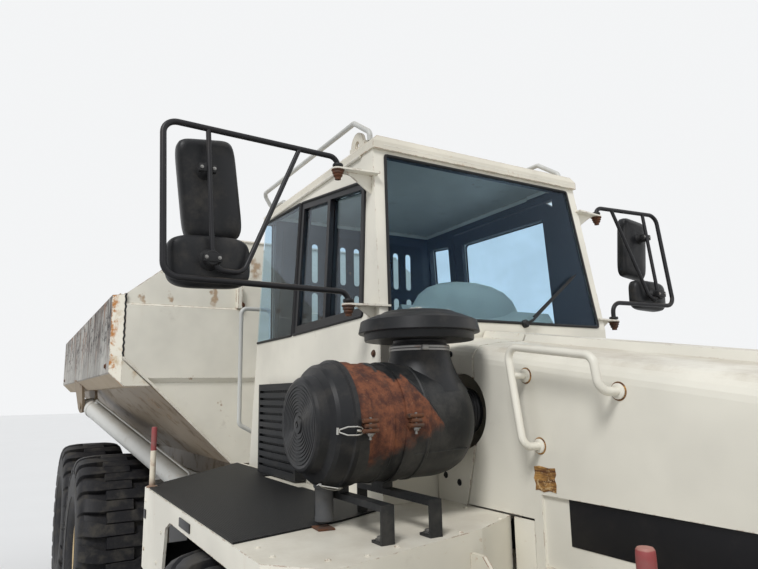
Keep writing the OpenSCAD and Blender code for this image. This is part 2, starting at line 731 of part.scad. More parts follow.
// How far the right quarter window reaches inward from the roof's side, round the cab's corner
quarter_depth = 57;
quarter_outline = [[cab_rear_x - 2, waist_z + 15], [-960, waist_z + 15], [-940, 3207],
    [cab_rear_x - 2, 3232]];
rear_outline = [[-waist_half + 150, waist_z + 60], [waist_half - 150, waist_z + 60],
    [roof_half - 140, cab_top_z - 90], [-roof_half + 140, cab_top_z - 90]];
door_x1 = roof_x - door_front;
door_x0 = door_x1 - door_len;
door_pin = [door_x1 + 3, waist_half + 20];
door_hinge_z = [1850, 2340];
door_z0 = deck_z + 30;
door_z1 = cab_top_z - 45;
door_outline = [[door_x0, door_z0], [door_x1, door_z0], [door_x1, door_z1 - 40],
    [door_x1 - 60, door_z1], [door_x0, door_z1]];
door_pane_outline = [[door_x0 + 75, waist_z - 330], [door_x1 - 75, waist_z - 130],
    [door_x1 - 90, door_z1 - 90],
    [door_x0 + 75, door_z1 - 75]];
left_quarter_outline = [[cab_rear_x + 70, waist_z + 15], [door_x0 - 65, waist_z + 15],
    [door_x0 - 65, door_z1 - 60],
    [cab_rear_x + 70, door_z1 - 40]];

// An outline moved inward by the glass's fit
glass_fit = 0.3;
function fitted(p) = [for (i = [0:len(p) - 1]) inset(p, i, -glass_fit)];

// Outlines of the sliding panes, which meet at the station x
function rear_pane_outline(x) = [[-900, waist_z + 60], [x, waist_z + 66], [x, 3117], [-885, 3160]];
function front_pane_outline(x) = [[x, waist_z + 66], [-195, waist_z + 70], [-208, 3070], [x, 3119]];

module slider_panes() {
    outlines = [rear_pane_outline(slider_mid_x), front_pane_outline(slider_mid_x)];
    for (i = [0, 1]) intersection() {
        difference() { cab_solid(pane_depths[i]); cab_solid(pane_depths[i] + glass_t); }
        right_cut(outlines[i]);
    }
}

// The parts of the cab's wall that lie within t of its outside
module cab_skin(t) difference() { cab_solid(0); cab_solid(t); }
module screen_cut(outline) front_plate(outline, screen_foot_x - 250, screen_foot_x + 50);
module rear_cut(outline) front_plate(outline, cab_rear_x - 200, cab_rear_x + 150);
module right_cut(outline, depth = 150) side_plate(outline, -waist_half - 50, -roof_half + depth);
module left_cut(outline) side_plate(outline, roof_half - 150, waist_half + 50);
// An outline grown by g on every side
module grown_plate(x0, x1, z0, z1, g) block([x0 - g, roof_half - 150, z0 - g],
    [x1 + g, waist_half + 50, z1 + g]);

mirror_top = [-114, 826, 3157];
mirror_low = [-44, 816, 2547];

// Where the mirror brackets start inside the wall, beside the windscreen
bracket_in = roof_half - 8;

// Bracket plate with its gusset and hole, at the pivot p on the left side
module mirror_bracket(p) difference() {
    union() {
        translate([0, 0, p[2] - 52]) linear_extrude(8) {
            translate([p[0], p[1]]) circle(28);
            polygon([[p[0] - 28, p[1]], [p[0] - 60, bracket_in], [p[0] + 50, bracket_in],
                [p[0] + 28, p[1]]]);
        }
        front_plate([[bracket_in, p[2] - 52], [p[1] - 40, p[2] - 52], [roof_half + 8, p[2] - 140],
            [bracket_in, p[2] - 140]], p[0] - 8, p[0]);
    }
    translate([p[0], p[1], p[2] - 60]) cylinder(r = mirror_tube_d / 2 + bearing_gap, h = 20);
}

module lifting_eye() difference() {
    union() {
        block([-420, roof_half - 57, roof_z - roof_t], [-264, roof_half - 42, roof_z + 40]);
        translate([-342, roof_half - 42, roof_z + 40]) rotate([90, 0, 0]) cylinder(r = 62, h = 15);
    }
    translate([-342, roof_half, roof_z + 40]) rotate([90, 0, 0]) cylinder(r = 18, h = 100);
}

module cab_shell() truck() color(cream) {
    difference() {
        cab_skin(wall_t);
        // The roof closes the top
        block([cab_rear_x - 10, -roof_half - 20, cab_top_z - 12.3], [0, roof_half + 20, cab_top_z + 50]);
        screen_cut(screen_outline);
        rear_cut(rear_outline);
        right_cut(slider_outline);
        right_cut(quarter_outline, quarter_depth);
        left_cut(left_quarter_outline);
        grown_plate(door_x0, door_x1, door_z0, door_z1, gap);
    }
    both_sides() {
        mirror_bracket(mirror_top);
        mirror_bracket(mirror_low);
    }
    // Pins and lugs of the door's hinges
    for (z = door_hinge_z) translate([door_pin[0], door_pin[1], z]) {
        translate([0, 0, -52]) cylinder(r = 7, h = 104);
        for (s = [-1, 1]) translate([0, 0, s * 37 - 14]) {
            cylinder(r = 14, h = 28);
            translate([0, waist_half - eps - door_pin[1], 0]) cube([46, 20, 28]);
        }
    }
}

module cab_roof() truck() color(cream) {
    difference() {
        hull() {
            block([cab_rear_x - 12, -roof_half - 8, cab_top_z - 12], [roof_x, roof_half + 8, roof_z - 30]);
            block([cab_rear_x + 10, -roof_half + 20, roof_z - 8], [roof_x - 12, roof_half - 20, roof_z]);
        }
        block([cab_rear_x + 40, -roof_half + 42, cab_top_z - 20],
            [roof_x - 60, roof_half - 42, roof_z - 25]);
    }
    both_sides() lifting_eye();
}

module cab_glass() truck() color(pane) {
    intersection() { cab_skin(glass_t); screen_cut(fitted(screen_outline)); }
    intersection() { cab_skin(glass_t); rear_cut(fitted(rear_outline)); }
    intersection() { cab_skin(glass_t); right_cut(fitted(quarter_outline), quarter_depth - glass_fit); }
    intersection() { cab_skin(glass_t); left_cut(fitted(left_quarter_outline)); }
    slider_panes();
}

module sliding_window() truck() color(dark) difference() {
    intersection() { cab_skin(wall_t); right_cut(slider_outline); }
    right_cut(rear_pane_outline(slider_mid_x - 15));
    right_cut(front_pane_outline(slider_mid_x + 15));
    slider_panes();
}

// Slotted guard plate inside the rear window
guard_slots = [for (i = [-4:4]) i];
module window_guard() truck() color(cream) difference() {
    front_plate([for (p = rear_outline) [p[0] * 1.06, p[1] + (p[1] > 2800 ? 25 : -25)]],
        cab_rear_x + wall_t, cab_rear_x + wall_t + 6);
    for (i = guard_slots, z = [waist_z + 110, waist_z + 440])
        translate([cab_rear_x + wall_t - 10, i * 105, z]) rotate([90, 0, 90]) linear_extrude(30)
            union() { translate([-22, 0]) square([44, 220]); circle(22); translate([0, 220]) circle(22); }
}

module cab_door() truck() color(cream) {
    difference() {
        intersection() { cab_skin(wall_t - 10); left_cut(door_outline); }
        left_cut(door_pane_outline);
    }
    for (z = door_hinge_z) translate([door_pin[0], door_pin[1], z - 20]) difference() {
        union() {
            cylinder(r = 14, h = 40);
            translate([-70, waist_half - eps - door_pin[1], 0]) cube([70, 18, 40]);
        }
        translate([0, 0, -eps]) cylinder(r = 7 + bearing_gap, h = 42);
    }
}

module door_glass() truck() color(pane) intersection() {
    cab_skin(glass_t);
    left_cut(fitted(door_pane_outline));
}

module seat() truck() color(dark) {
    z = cab_floor_z + wall_t;
    block([-1150, -180, z], [-800, 180, z + 260]);
    block([-1200, -250, z + 260], [-700, 250, z + 390]);
    side_plate([[-1200, z + 390], [-1080, z + 390], [-1180, z + 1050], [-1290, z + 1050]], -230, 230);
}

module dash() truck() color("#9fb0a4") {
    z = cab_floor_z + wall_t;
    side_plate([[-60, z], [-330, z], [-330, z + 560], [-250, z + 820], [-140, z + 880],
        [-62, z + 760]], -500, 420);
    bar([-320, 0, z + 610], [-520, 0, z + 780], 30);
    along([-520, 0, z + 780], [-180, 0, 160]) rotate_extrude() translate([205, 0]) circle(16, $fn = 16);
    along([-520, 0, z + 780], [-180, 0, 160]) for (a = [0, 120, 240]) rotate([0, 0, a])
        translate([0, -15, -6]) cube([205, 30, 12]);
}

// Mirrors: reach and swing of each arm, [side, reach, swing forward, rise of its lower tube]
mirror_sides = [[-1, 752, 3.5, 0], [1, 470, 6, 50]];

// How far out along an arm its stem stands
stem_share = 0.74;

function mirror_point(m, low, out, up) = let (p = low ? mirror_low : mirror_top)
    [p[0] + out * sin(m[2]), m[0] * (p[1] + out * cos(m[2])), p[2] + up];

module mirror_arms() truck() color(dark) for (m = mirror_sides) {
    reach = m[1];
    bent_tube([mirror_point(m, false, 0, -80), mirror_point(m, false, 0, 5),
        mirror_point(m, false, reach, 5),
        mirror_point(m, true, reach, 5 + m[3]), mirror_point(m, true, 0, 5 + m[3]),
            mirror_point(m, true, 0, -80)],
        mirror_tube_d, 45);
    // Stem for the heads, and the brace
    stem = reach * stem_share;
    bar(mirror_point(m, false, stem, 5), mirror_point(m, true, stem, 5 + m[3]), mirror_tube_d / 2 - 2);
    bar(mirror_point(m, false, reach * 0.25, 5), mirror_point(m, true, stem - 70, 5 + m[3]),
        mirror_tube_d / 2 - 2);
}

module mirror_head(c, w, h) translate(c) rotate([90, 0, 90])
    linear_extrude(50) polygon([[-w / 2 + 30, -h / 2], [w / 2 - 30, -h / 2], [w / 2, -h / 2 + 30],
        [w / 2, h / 2 - 40],
        [w / 2 - 40, h / 2], [-w / 2 + 40, h / 2], [-w / 2, h / 2 - 40], [-w / 2, -h / 2 + 30]]);

module mirror_heads() truck() color(dark) for (m = mirror_sides) {
    stem = m[1] * stem_share;
    c = mirror_point(m, false, stem, -230);
    d = mirror_point(m, true, stem, 130 + m[3]);
    difference() {
        for (h = [[c, 200, 400], [d, 260, 150]]) {
            mirror_head([h[0][0] - 95, h[0][1], h[0][2]], h[1], h[2]);
            block([h[0][0] - 46, h[0][1] - 22, h[0][2] - 20], [h[0][0] + 40, h[0][1] + 22, h[0][2] + 20]);
        }
        bar(mirror_point(m, false, stem, 5), mirror_point(m, true, stem, 5 + m[3]),
            mirror_tube_d / 2 - 2 + 0.3);
    }
}

// Station just behind the cab's rear wall at the height z
function cab_back_at(z) = cab_rear_x - 0.4 - cab_back_lean * (waist_z - z) / (waist_z - cab_floor_z);

module cab_rails() truck() color(cream) both_sides() {
    y = roof_half - 26;
    bent_tube([[-185, y, roof_z + 0.3], [-185, y, roof_z + 45], [-340, y, roof_z + 150],
        [-1640, y, roof_z + 165],
        [-1640, y - 60, roof_z + 70], [-1400, y - 60, roof_z + 60], [-1400, y - 60, roof_z + 0.3]], 26, 40);
    bent_tube([[cab_back_at(1866), 600, 1880], [-1740, 600, 1880], [-1740, 730, 1950],
        [-1740, 730, 2700], [-1740, 520, 2700],
        [-1740, 520, 2380], [cab_back_at(2366), 520, 2380]], 28, 40);
}

module louvre_box() truck() color(dark) difference() {
    block([-1310, -waist_half - 62, deck_z + 7], [-760, -waist_half - 0.3, 2195]);
    for (z = [deck_z + 45:40:2150]) block([-1290, -waist_half - 70, z], [-780, -waist_half - 45, z + 14]);
}

// Air cleaner

module air_cleaner() truck() color(dark) {
    translate([drum_x, -drum_in, drum_z]) rotate([90, 0, 0]) {
        len = drum_out - drum_in;
        rotate_extrude($fn = 72) polygon([[0, 0], [90, 0], [140, 12], [drum_r - 30, 50],
            [drum_r - 5, 95], [drum_r - 5, 130],
            [drum_r, 132], [drum_r, len - 130], [drum_r + 10, len - 128], [drum_r + 10, len - 108],
                [drum_r + 2, len - 106],
            [drum_r - 6, len - 62], [drum_r - 14, len - 50], [drum_r - 40, len - 46],
                [drum_r - 50, len - 12],
            [drum_r - 62, len], [0, len]]);
    }
    // Duct into the hood, and the neck under the rain cap
    cross_rod(duct_hole_x, duct_hole_z, duct_r, -drum_in - 50, -hood_half + 90);
    translate([drum_x, -cap_y, drum_z + 60]) cylinder(r = 104, h = cap_z - drum_z - 60);
    // Dust outlet
    translate([drum_x - 10, -drum_out + 70, drum_z - drum_r - 95]) cylinder(r = 33, h = 140);
}

cap_z = drum_z + 280;

module rain_cap() truck() color(dark) translate([drum_x, -cap_y, cap_z]) rotate_extrude($fn = 72)
    polygon([[0, 0.3], [96, 0.3], [100, 23], [cap_r - 25, 23], [cap_r - 22, 62], [cap_r, 62],
        [cap_r - 14, 101],
        [cap_r - 68, 133], [cap_r - 76, 127], [cap_r - 96, 148], [0, 156]]);

strap_y = [-1010, -838];
module cleaner_stand() truck() color(dark) for (y = strap_y) {
    // Strap round the drum
    translate([drum_x, y + 20, drum_z]) rotate([90, 0, 0]) difference() {
        cylinder(r = drum_r + 5, h = 40);
        translate([0, 0, -1]) cylinder(r = drum_r + 0.3, h = 42);
    }
    // Saddle, front leg and rear leg
    side_plate([[drum_x - 150, drum_z - drum_r - 40], [drum_x + 330, drum_z - drum_r - 40],
        [drum_x + 330, drum_z - drum_r - 20], [drum_x + 40, drum_z - drum_r - 20],
            [drum_x + 40, drum_z - drum_r - 1],
        [drum_x - 40, drum_z - drum_r - 1], [drum_x - 40, drum_z - drum_r - 20],
            [drum_x - 150, drum_z - drum_r - 20]],
        y - 20, y + 20);
    side_plate([[drum_x + 322, deck_z], [drum_x + 330, deck_z], [drum_x + 330, drum_z - drum_r - 20],
        [drum_x + 322, drum_z - drum_r - 20]], y - 25, y + 20);
    side_plate([[drum_x + 270, deck_z], [drum_x + 322, deck_z], [drum_x + 322, deck_z + 8],
        [drum_x + 270, deck_z + 8]],
        y - 25, y + 20);
    side_plate([[drum_x - 150, deck_z + 7], [drum_x - 142, deck_z + 7],
        [drum_x - 142, drum_z - drum_r - 20],
        [drum_x - 150, drum_z - drum_r - 20]], y - 20, y + 20);
}

// Dump body

body_x = -body_front;
wall_back_x = body_x - 30;

// Section of the shell at one end, as [y, z], shrunk by t
function shell_section(half, z, t) = [[-wall_half + t, side_z + (t > 0 ? 10 : 0)],
    [-wall_half + t, side_low_z + 85],
    [-half + t * 0.4, z + t], [half - t * 0.4, z + t], [wall_half - t, side_low_z + 85],
    [wall_half - t, side_z + (t > 0 ? 10 : 0)]];

module shell_solid(x0, x1, t) hull() {
    front_plate(shell_section(floor_half_front, floor_z_front, t), x1 - 1, x1);
    front_plate(shell_section(floor_half_tail, floor_z_tail, t), x0, x0 + 1);
}

module dump_shell() truck() color(cream) difference() {
    shell_solid(tail_x, wall_back_x, 0);
    shell_solid(tail_x - 20, wall_back_x + 20, plate_t);
}

side_box_section = [[body_half, side_z], [body_half, side_low_z], [body_half - 92, side_low_z - 94],
    [wall_half - 190, side_low_z - 94], [wall_half + 0.3, side_low_z + 87], [wall_half + 0.3, side_z]];

module side_boxes() truck() color(steel) both_sides() difference() {
    front_plate(side_box_section, tail_x, body_x);
    shell_solid(tail_x - 50, body_x + 50, 0);
    // Slanting corner at the front
    translate([body_x, wall_half + 8, side_low_z - 200]) rotate([0, 0, 45]) cube([200, 200, 900]);
}

wall_outline = [[-wall_half, side_low_z + 85], [-wall_half, side_z + 8], [-headboard_half, headboard_z],
    [headboard_half, headboard_z], [wall_half, side_z + 8], [wall_half, side_low_z + 85],
    [wall_half - 194, side_low_z - 83], [floor_half_front, floor_z_front],
        [-floor_half_front, floor_z_front],
    [-wall_half + 194, side_low_z - 83]];

module front_wall() truck() color(cream) {
    intersection() {
        front_plate(wall_outline, wall_back_x - 200, body_x + 60);
        side_plate([[wall_back_x, floor_z_front - 10], [wall_back_x, headboard_z + 10],
            [body_x - 8, headboard_z + 10],
            [body_x - 8, side_z - 60], [body_x + 8, side_z - 70], [body_x + 8, side_low_z - 40],
            [body_x - 16, side_low_z - 70], [body_x - 16, floor_z_front - 10]],
                -wall_half - 10, wall_half + 10);
    }
    // Lip along the headboard's edge
    both_sides() block([wall_back_x - 60, -headboard_half, headboard_z - 14],
        [wall_back_x, 0, headboard_z]);
    // Bracket at the top edge's stiffener
    both_sides() block([body_x - 8, -600, side_z - 60], [body_x + 40, -570, side_z + 120]);
}

runner_in = 300;
runner_out = 390;

module body_brackets() truck() color(cream) {
    floor_at = function(x) -0.5 + floor_z_tail + (floor_z_front - floor_z_tail) * (x - tail_x) / (body_x - tail_x);
    both_sides() {
        difference() {
            union() {
                // Runner under the floor, and the ear at the hinge
                side_plate([[body_x - 120, floor_at(body_x - 120)], [body_x - 120, rear_rail_z1 + 120],
                    [body_x - 320, rear_rail_z1 + gap], [rear_x, rear_rail_z1 + gap],
                        [tail_x + 200, floor_at(tail_x + 200) - 60],
                    [tail_x + 200, floor_at(tail_x + 200)]], runner_in, runner_out);
                side_plate([[tip_x - 110, tip_z], [tip_x + 110, tip_z],
                    [tip_x + 260, floor_at(tip_x + 260)],
                    [tip_x - 260, floor_at(tip_x - 260)]], rear_rail_out + gap, rear_rail_out + gap + 40);
                cross_rod(tip_x, tip_z, 110, rear_rail_out + gap, rear_rail_out + gap + 40);
                block([tip_x - 150, runner_out - 1, rear_rail_z1 + 60],
                    [tip_x + 150, rear_rail_out + gap + 1, floor_at(tip_x) - 20]);
            }
            cross_rod(tip_x, tip_z, tip_pin_r + bearing_gap, 300, 600);
            block([tip_x - 150, rear_rail_in - 20, tip_z - 200],
                [tip_x + 130, rear_rail_out + gap - 0.01, rear_rail_z1 + gap]);
        }
        // Ears that hold the hoist cylinder's head, cut along the side box
        difference() {
            along(hoist_head, hoist_turn) for (t = [-75, 50]) translate([0, 0, t]) linear_extrude(25) {
                circle(70);
                polygon([[-70, 0], [70, 0], [110, 260], [-110, 260]]);
            }
            translate([0, 0, -0.3]) front_plate(concat([for (i = [0:2]) side_box_section[i]],
                [[wall_half - 260, side_low_z - 94], [wall_half - 260, side_z]]),
                hoist_head[0] - 300, hoist_head[0] + 300);
        }
        along(hoist_head, hoist_turn) translate([0, 0, -85]) cylinder(r = hoist_pin_r, h = 170);
    }
}

// Hoist and steering cylinders: barrels hold their head eye, rods their foot eye

module on_side(side) if (side > 0) children(); else mirror([0, 1, 0]) children();

hoist_pin_r = 32;
hoist_len = norm(hoist_foot - hoist_head);
hoist_dir = unit(hoist_foot - hoist_head);

// The hoist's foot as the body sees it when it is tipped all the way
tip_angle = 65;
tipped_foot = let (x = hoist_foot[0] - tip_x, z = hoist_foot[2] - tip_z)
    [tip_x + x * cos(tip_angle) + z * sin(tip_angle), hoist_foot[1],
        tip_z - x * sin(tip_angle) + z * cos(tip_angle)];

// Direction of the pin that lets the cylinder point at its foot at both ends of the stroke
hoist_turn = unit(cross(hoist_dir, unit(tipped_foot - hoist_head)));

module hoist_barrel(side) truck() color(cream) on_side(side) difference() {
    union() {
        along(hoist_head, hoist_dir) translate([0, 0, 125]) cylinder(r = hoist_r,
            h = hoist_len - 125 - 130);
        along(hoist_head, hoist_dir) cylinder(r = 40, h = 140);
        along(hoist_head, hoist_turn) translate([0, 0, -42]) cylinder(r = 62, h = 84);
    }
    along(hoist_head, hoist_turn) translate([0, 0, -60]) cylinder(r = hoist_pin_r + bearing_gap, h = 120);
    along(hoist_head, hoist_dir) translate([0, 0, 180]) cylinder(r = hoist_rod_r + bearing_gap,
        h = hoist_len);
}

module hoist_rod(side) truck() color(steel) on_side(side) {
    along(hoist_head, hoist_dir) translate([0, 0, 200]) cylinder(r = hoist_rod_r, h = hoist_len - 240);
    difference() {
        translate([0, hoist_foot[1], 0]) cross_rod(hoist_foot[0], hoist_foot[2], 75, -45, 45);
        translate([0, hoist_foot[1], 0]) cross_rod(hoist_foot[0], hoist_foot[2], hoist_pin_r, -60, 60);
    }
}

steer_eye = [hitch_x - 200, 340];
// Half of the steering cylinder's stroke, and the end of its barrel before the eye
steer_half_stroke = 280;
steer_mouth = 360;
steer_bottom = 90;

module steer_frame(side) {
    root = [steer_root[0], side * steer_root[1], hitch_z];
    eye = [steer_eye[0], side * steer_eye[1], hitch_z];
    along(root, eye - root) children();
}
steer_len = norm(steer_eye - steer_root);

module steer_barrel(side) truck() color(dark) difference() {
    union() {
        steer_frame(side) translate([0, 0, 55]) cylinder(r = steer_r, h = steer_len - 55 - steer_mouth);
        steer_frame(side) cylinder(r = 30, h = 80);
        translate([steer_root[0], side * steer_root[1],
            hitch_z - steer_r]) cylinder(r = 52, h = 2 * steer_r);
    }
    translate([steer_root[0], side * steer_root[1],
        hitch_z - 100]) cylinder(r = steer_pin_r + bearing_gap, h = 200);
    steer_frame(side) translate([0, 0, steer_bottom]) cylinder(r = steer_rod_r + bearing_gap,
        h = steer_len);
}

module steer_rod(side) truck() color(steel) {
    steer_frame(side) translate([0, 0, steer_bottom + steer_half_stroke])
        cylinder(r = steer_rod_r, h = steer_len - steer_bottom - steer_half_stroke - 30);
    translate([steer_eye[0], side * steer_eye[1], hitch_z - steer_r]) difference() {
        cylinder(r = 48, h = 2 * steer_r);
        translate([0, 0, -1]) cylinder(r = steer_pin_r, h = 2 * steer_r + 2);
    }
}

front_frame();
front_axle();
engine();
front_bumper();
headlamps();
cowl();
deck_right();
deck_left();
deck_mats();
front_boxes();
front_mudflaps();
cab_shell();
cab_roof();
cab_glass();
sliding_window();
window_guard();
seat();
dash();
mirror_arms();
mirror_heads();
cab_rails();
air_cleaner();
rain_cap();
cleaner_stand();
louvre_box();
marker_poles();
side_tanks();
hood();
grille();
hood_rail();
cab_door();
door_glass();
hitch();
rear_frame();
rear_axles();
walking_beams();
dump_shell();
side_boxes();
front_wall();
body_brackets();
hoist_barrel(1);  // hoist_barrel_left
hoist_barrel(-1);  // hoist_barrel_right
hoist_rod(1);  // hoist_rod_left
hoist_rod(-1);  // hoist_rod_right
steer_barrel(1);  // steer_barrel_left
steer_barrel(-1);  // steer_barrel_right
steer_rod(1);  // steer_rod_left
steer_rod(-1);  // steer_rod_right
tyre(0, 1);  // tyre_front_left
tyre(0, -1);  // tyre_front_right
tyre(middle_x, 1);  // tyre_middle_left
tyre(middle_x, -1);  // tyre_middle_right
tyre(rear_x, 1);  // tyre_rear_left
tyre(rear_x, -1);  // tyre_rear_right
rim(0, 1);  // rim_front_left
rim(0, -1);  // rim_front_right
rim(middle_x, 1);  // rim_middle_left
rim(middle_x, -1);  // rim_middle_right
rim(rear_x, 1);  // rim_rear_left
rim(rear_x, -1);  // rim_rear_right
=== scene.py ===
"""Looks of an articulated dump truck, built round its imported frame."""

import logging
import math
from dataclasses import dataclass, field
from enum import Enum
from typing import Iterable, Protocol, Sequence

import bmesh
import bpy
from mathutils import Matrix, Vector


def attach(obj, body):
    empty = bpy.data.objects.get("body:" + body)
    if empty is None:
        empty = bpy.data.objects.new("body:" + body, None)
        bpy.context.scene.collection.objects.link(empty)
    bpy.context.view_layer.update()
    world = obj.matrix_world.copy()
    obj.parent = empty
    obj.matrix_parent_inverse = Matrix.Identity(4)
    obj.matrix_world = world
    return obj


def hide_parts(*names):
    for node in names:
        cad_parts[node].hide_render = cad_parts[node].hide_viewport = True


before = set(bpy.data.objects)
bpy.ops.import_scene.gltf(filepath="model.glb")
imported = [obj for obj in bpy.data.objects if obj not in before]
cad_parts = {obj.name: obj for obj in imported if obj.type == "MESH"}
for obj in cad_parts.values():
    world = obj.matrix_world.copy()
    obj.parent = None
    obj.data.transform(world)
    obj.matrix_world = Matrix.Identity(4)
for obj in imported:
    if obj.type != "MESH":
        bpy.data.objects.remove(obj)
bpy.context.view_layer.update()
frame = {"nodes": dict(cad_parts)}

LOG = logging.getLogger("dump_truck")
Colour = tuple[float, float, float]
Profile = Sequence[tuple[float, float]]
Material = bpy.types.Material
Mesh = bpy.types.Mesh
Socket = bpy.types.NodeSocket
UP = Vector((0, 0, 1))
AHEAD = Vector((1, 0, 0))

# Station of the frame's origin, in metres forward of the front axle
ORIGIN_BACK = 1.960


class Body(Enum):
    """Bodies of the frame that pieces ride on."""

    TRACTOR = "tractor"
    HOOD = "hood"
    DOOR = "door"
    REAR = "rear_frame"
    DUMP = "dump_body"


class Slot(Enum):
    """Material slots of the record."""

    CREAM = "cream_paint"
    GREY = "grey_paint"
    BLACK = "black_paint"
    POLE = "pole_paint"
    RIM = "rim_paint"
    CHROME = "chrome_rod"
    TYRE = "tyre"
    RUBBER = "black_rubber"
    LAMP = "lamp_glass"
    CLOTH = "seat_fabric"
    DASH = "dash_plastic"


def at(x: float, y: float, z: float) -> Vector:
    """Place in the frame, in metres, of a point in millimetres.

    Args:
        x: Station forward of the front axle.
        y: Distance to the left of the middle plane.
        z: Height above the ground.

    Returns:
        The point in the frame.
    """
    return Vector((x / 1000 + ORIGIN_BACK, y / 1000, z / 1000))


# Shapes


def rounded(path: Sequence[Vector], radius: float, steps: int = 6, closed: bool = False) -> list[Vector]:
    """Points of a path whose corners are turned into arcs.

    Args:
        path: Corner points.
        radius: Radius of each bend, in metres.
        steps: Number of segments in a bend.
        closed: Whether the last point joins the first.

    Returns:
        The points of the smooth path.
    """
    count, out = len(path), []
    for i, corner in enumerate(path):
        if not closed and i in (0, count - 1):
            out.append(corner.copy())
            continue
        before, after = path[i - 1] - corner, path[(i + 1) % count] - corner
        half = before.angle(after) / 2
        reach = min(radius / max(math.tan(half), 1e-6), before.length * 0.49, after.length * 0.49)
        bend = reach * math.tan(half)
        a, b = before.normalized(), after.normalized()
        centre = corner + (a + b).normalized() * (reach / math.cos(half))
        start, end = corner + a * reach - centre, corner + b * reach - centre
        for k in range(steps + 1):
            spoke = start.slerp(end, k / steps) if start.angle(end) > 1e-4 else start
            out.append(centre + spoke.normalized() * bend)
    return out


class Sculpt:
    """A mesh under construction, in metres in the frame."""

    def __init__(self) -> None:
        """Starts an empty mesh."""
        self.bm = bmesh.new()

    def block(self, low: Vector, high: Vector, rounding: float = 0.0) -> "Sculpt":
        """Adds a box with rounded edges.

        Args:
            low: One corner.
            high: The opposite corner.
            rounding: Width of the rounded edges.

        Returns:
            The mesh itself.
        """
        corners = [Vector(map(min, low, high)), Vector(map(max, low, high))]
        verts = bmesh.ops.create_cube(self.bm, size=1.0)["verts"]
        middle, size = (corners[0] + corners[1]) / 2, corners[1] - corners[0]
        for v in verts:
            v.co = middle + Vector((v.co.x * size.x, v.co.y * size.y, v.co.z * size.z))
        if rounding:
            edges = list({e for v in verts for e in v.link_edges})
            bmesh.ops.bevel(self.bm, geom=edges, offset=min(rounding, min(size) * 0.45), segments=2,
                            profile=0.6, affect="EDGES", clamp_overlap=True)
        return self

    def prism(self, outline: Sequence[Vector], push: Vector, rounding: float = 0.0) -> "Sculpt":
        """Adds a plate with a flat outline, pushed along a direction.

        Args:
            outline: Corner points of one face.
            push: Vector from that face to the other.
            rounding: Width of the rounded edges.

        Returns:
            The mesh itself.
        """
        low = [self.bm.verts.new(p) for p in outline]
        high = [self.bm.verts.new(p + push) for p in outline]
        count = len(low)
        faces = [self.bm.faces.new(low[::-1]), self.bm.faces.new(high)]
        faces += [self.bm.faces.new((low[i], low[(i + 1) % count], high[(i + 1) % count], high[i]))
                  for i in range(count)]
        if rounding:
            edges = list({e for f in faces for e in f.edges})
            bmesh.ops.bevel(self.bm, geom=edges, offset=rounding, segments=2, profile=0.6,
                            affect="EDGES", clamp_overlap=True)
        return self

    def lathe(self, profile: Profile, place: Matrix, sides: int = 48, ring: bool = False) -> "Sculpt":
        """Adds a turned shape about the local Z axis.

        Args:
            profile: Points as (radius, height), in metres.
            place: Matrix that carries the local axes into the frame.
            sides: Number of segments round the axis.
            ring: Whether the profile closes on itself, as a tyre's does.

        Returns:
            The mesh itself.
        """
        rings = []
        for radius, height in profile:
            if radius < 1e-6:
                rings.append([self.bm.verts.new(place @ Vector((0, 0, height)))])
                continue
            turns = [2 * math.pi * i / sides for i in range(sides)]
            spots = [Vector((radius * math.cos(t), radius * math.sin(t), height)) for t in turns]
            rings.append([self.bm.verts.new(place @ p) for p in spots])
        pairs = list(zip(rings, rings[1:] + (rings[:1] if ring else [])))
        for a, b in pairs:
            for i in range(sides):
                j = (i + 1) % sides
                corners = [a[0]] if len(a) == 1 else [a[i], a[j]]
                corners += [b[0]] if len(b) == 1 else [b[j], b[i]]
                if len(corners) > 2:
                    self.bm.faces.new(corners)
        return self

    def turned(self, rows: Profile, place: Matrix, sides: int = 48, ring: bool = False) -> "Sculpt":
        """Adds a turned shape, as lathe does, from a profile in millimetres."""
        return self.lathe([(r / 1000, h / 1000) for r, h in rows], place, sides, ring)

    def tube(self, path: Sequence[Vector], radius: float, sides: int = 10, closed: bool = False) -> "Sculpt":
        """Adds a round tube along a path.

        Args:
            path: Points of the centre line.
            radius: Radius of the tube.
            sides: Number of segments round the tube.
            closed: Whether the tube joins its own start.

        Returns:
            The mesh itself.
        """
        count = len(path)
        normal, rings = None, []
        for i, p in enumerate(path):
            last = path[i - 1] if closed or i else p
            follow = path[(i + 1) % count] if closed or i < count - 1 else p
            along = (follow - last).normalized()
            if normal is None:
                normal = along.orthogonal().normalized()
            normal = (normal - along * normal.dot(along)).normalized()
            side = along.cross(normal)
            rings.append([self.bm.verts.new(p + (normal * math.cos(t) + side * math.sin(t)) * radius)
                          for t in (2 * math.pi * k / sides for k in range(sides))])
        for a, b in zip(rings, rings[1:] + (rings[:1] if closed else [])):
            shift = 0
            if closed and b is rings[0]:
                shift = min(range(sides), key=lambda s: (a[0].co - b[s].co).length)
            for k in range(sides):
                m = (k + 1) % sides
                self.bm.faces.new((a[k], a[m], b[(m + shift) % sides], b[(k + shift) % sides]))
        if not closed:
            self.bm.faces.new(rings[0][::-1])
            self.bm.faces.new(rings[-1])
        return self

    def loft(self, sections: Sequence[Sequence[Vector]]) -> "Sculpt":
        """Adds a closed skin through sections with the same number of points.

        Args:
            sections: Closed outlines, one after another.

        Returns:
            The mesh itself.
        """
        rings = [[self.bm.verts.new(p) for p in s] for s in sections]
        count = len(rings[0])
        for a, b in zip(rings, rings[1:]):
            for k in range(count):
                m = (k + 1) % count
                self.bm.faces.new((a[k], a[m], b[m], b[k]))
        self.bm.faces.new(rings[0][::-1])
        self.bm.faces.new(rings[-1])
        return self

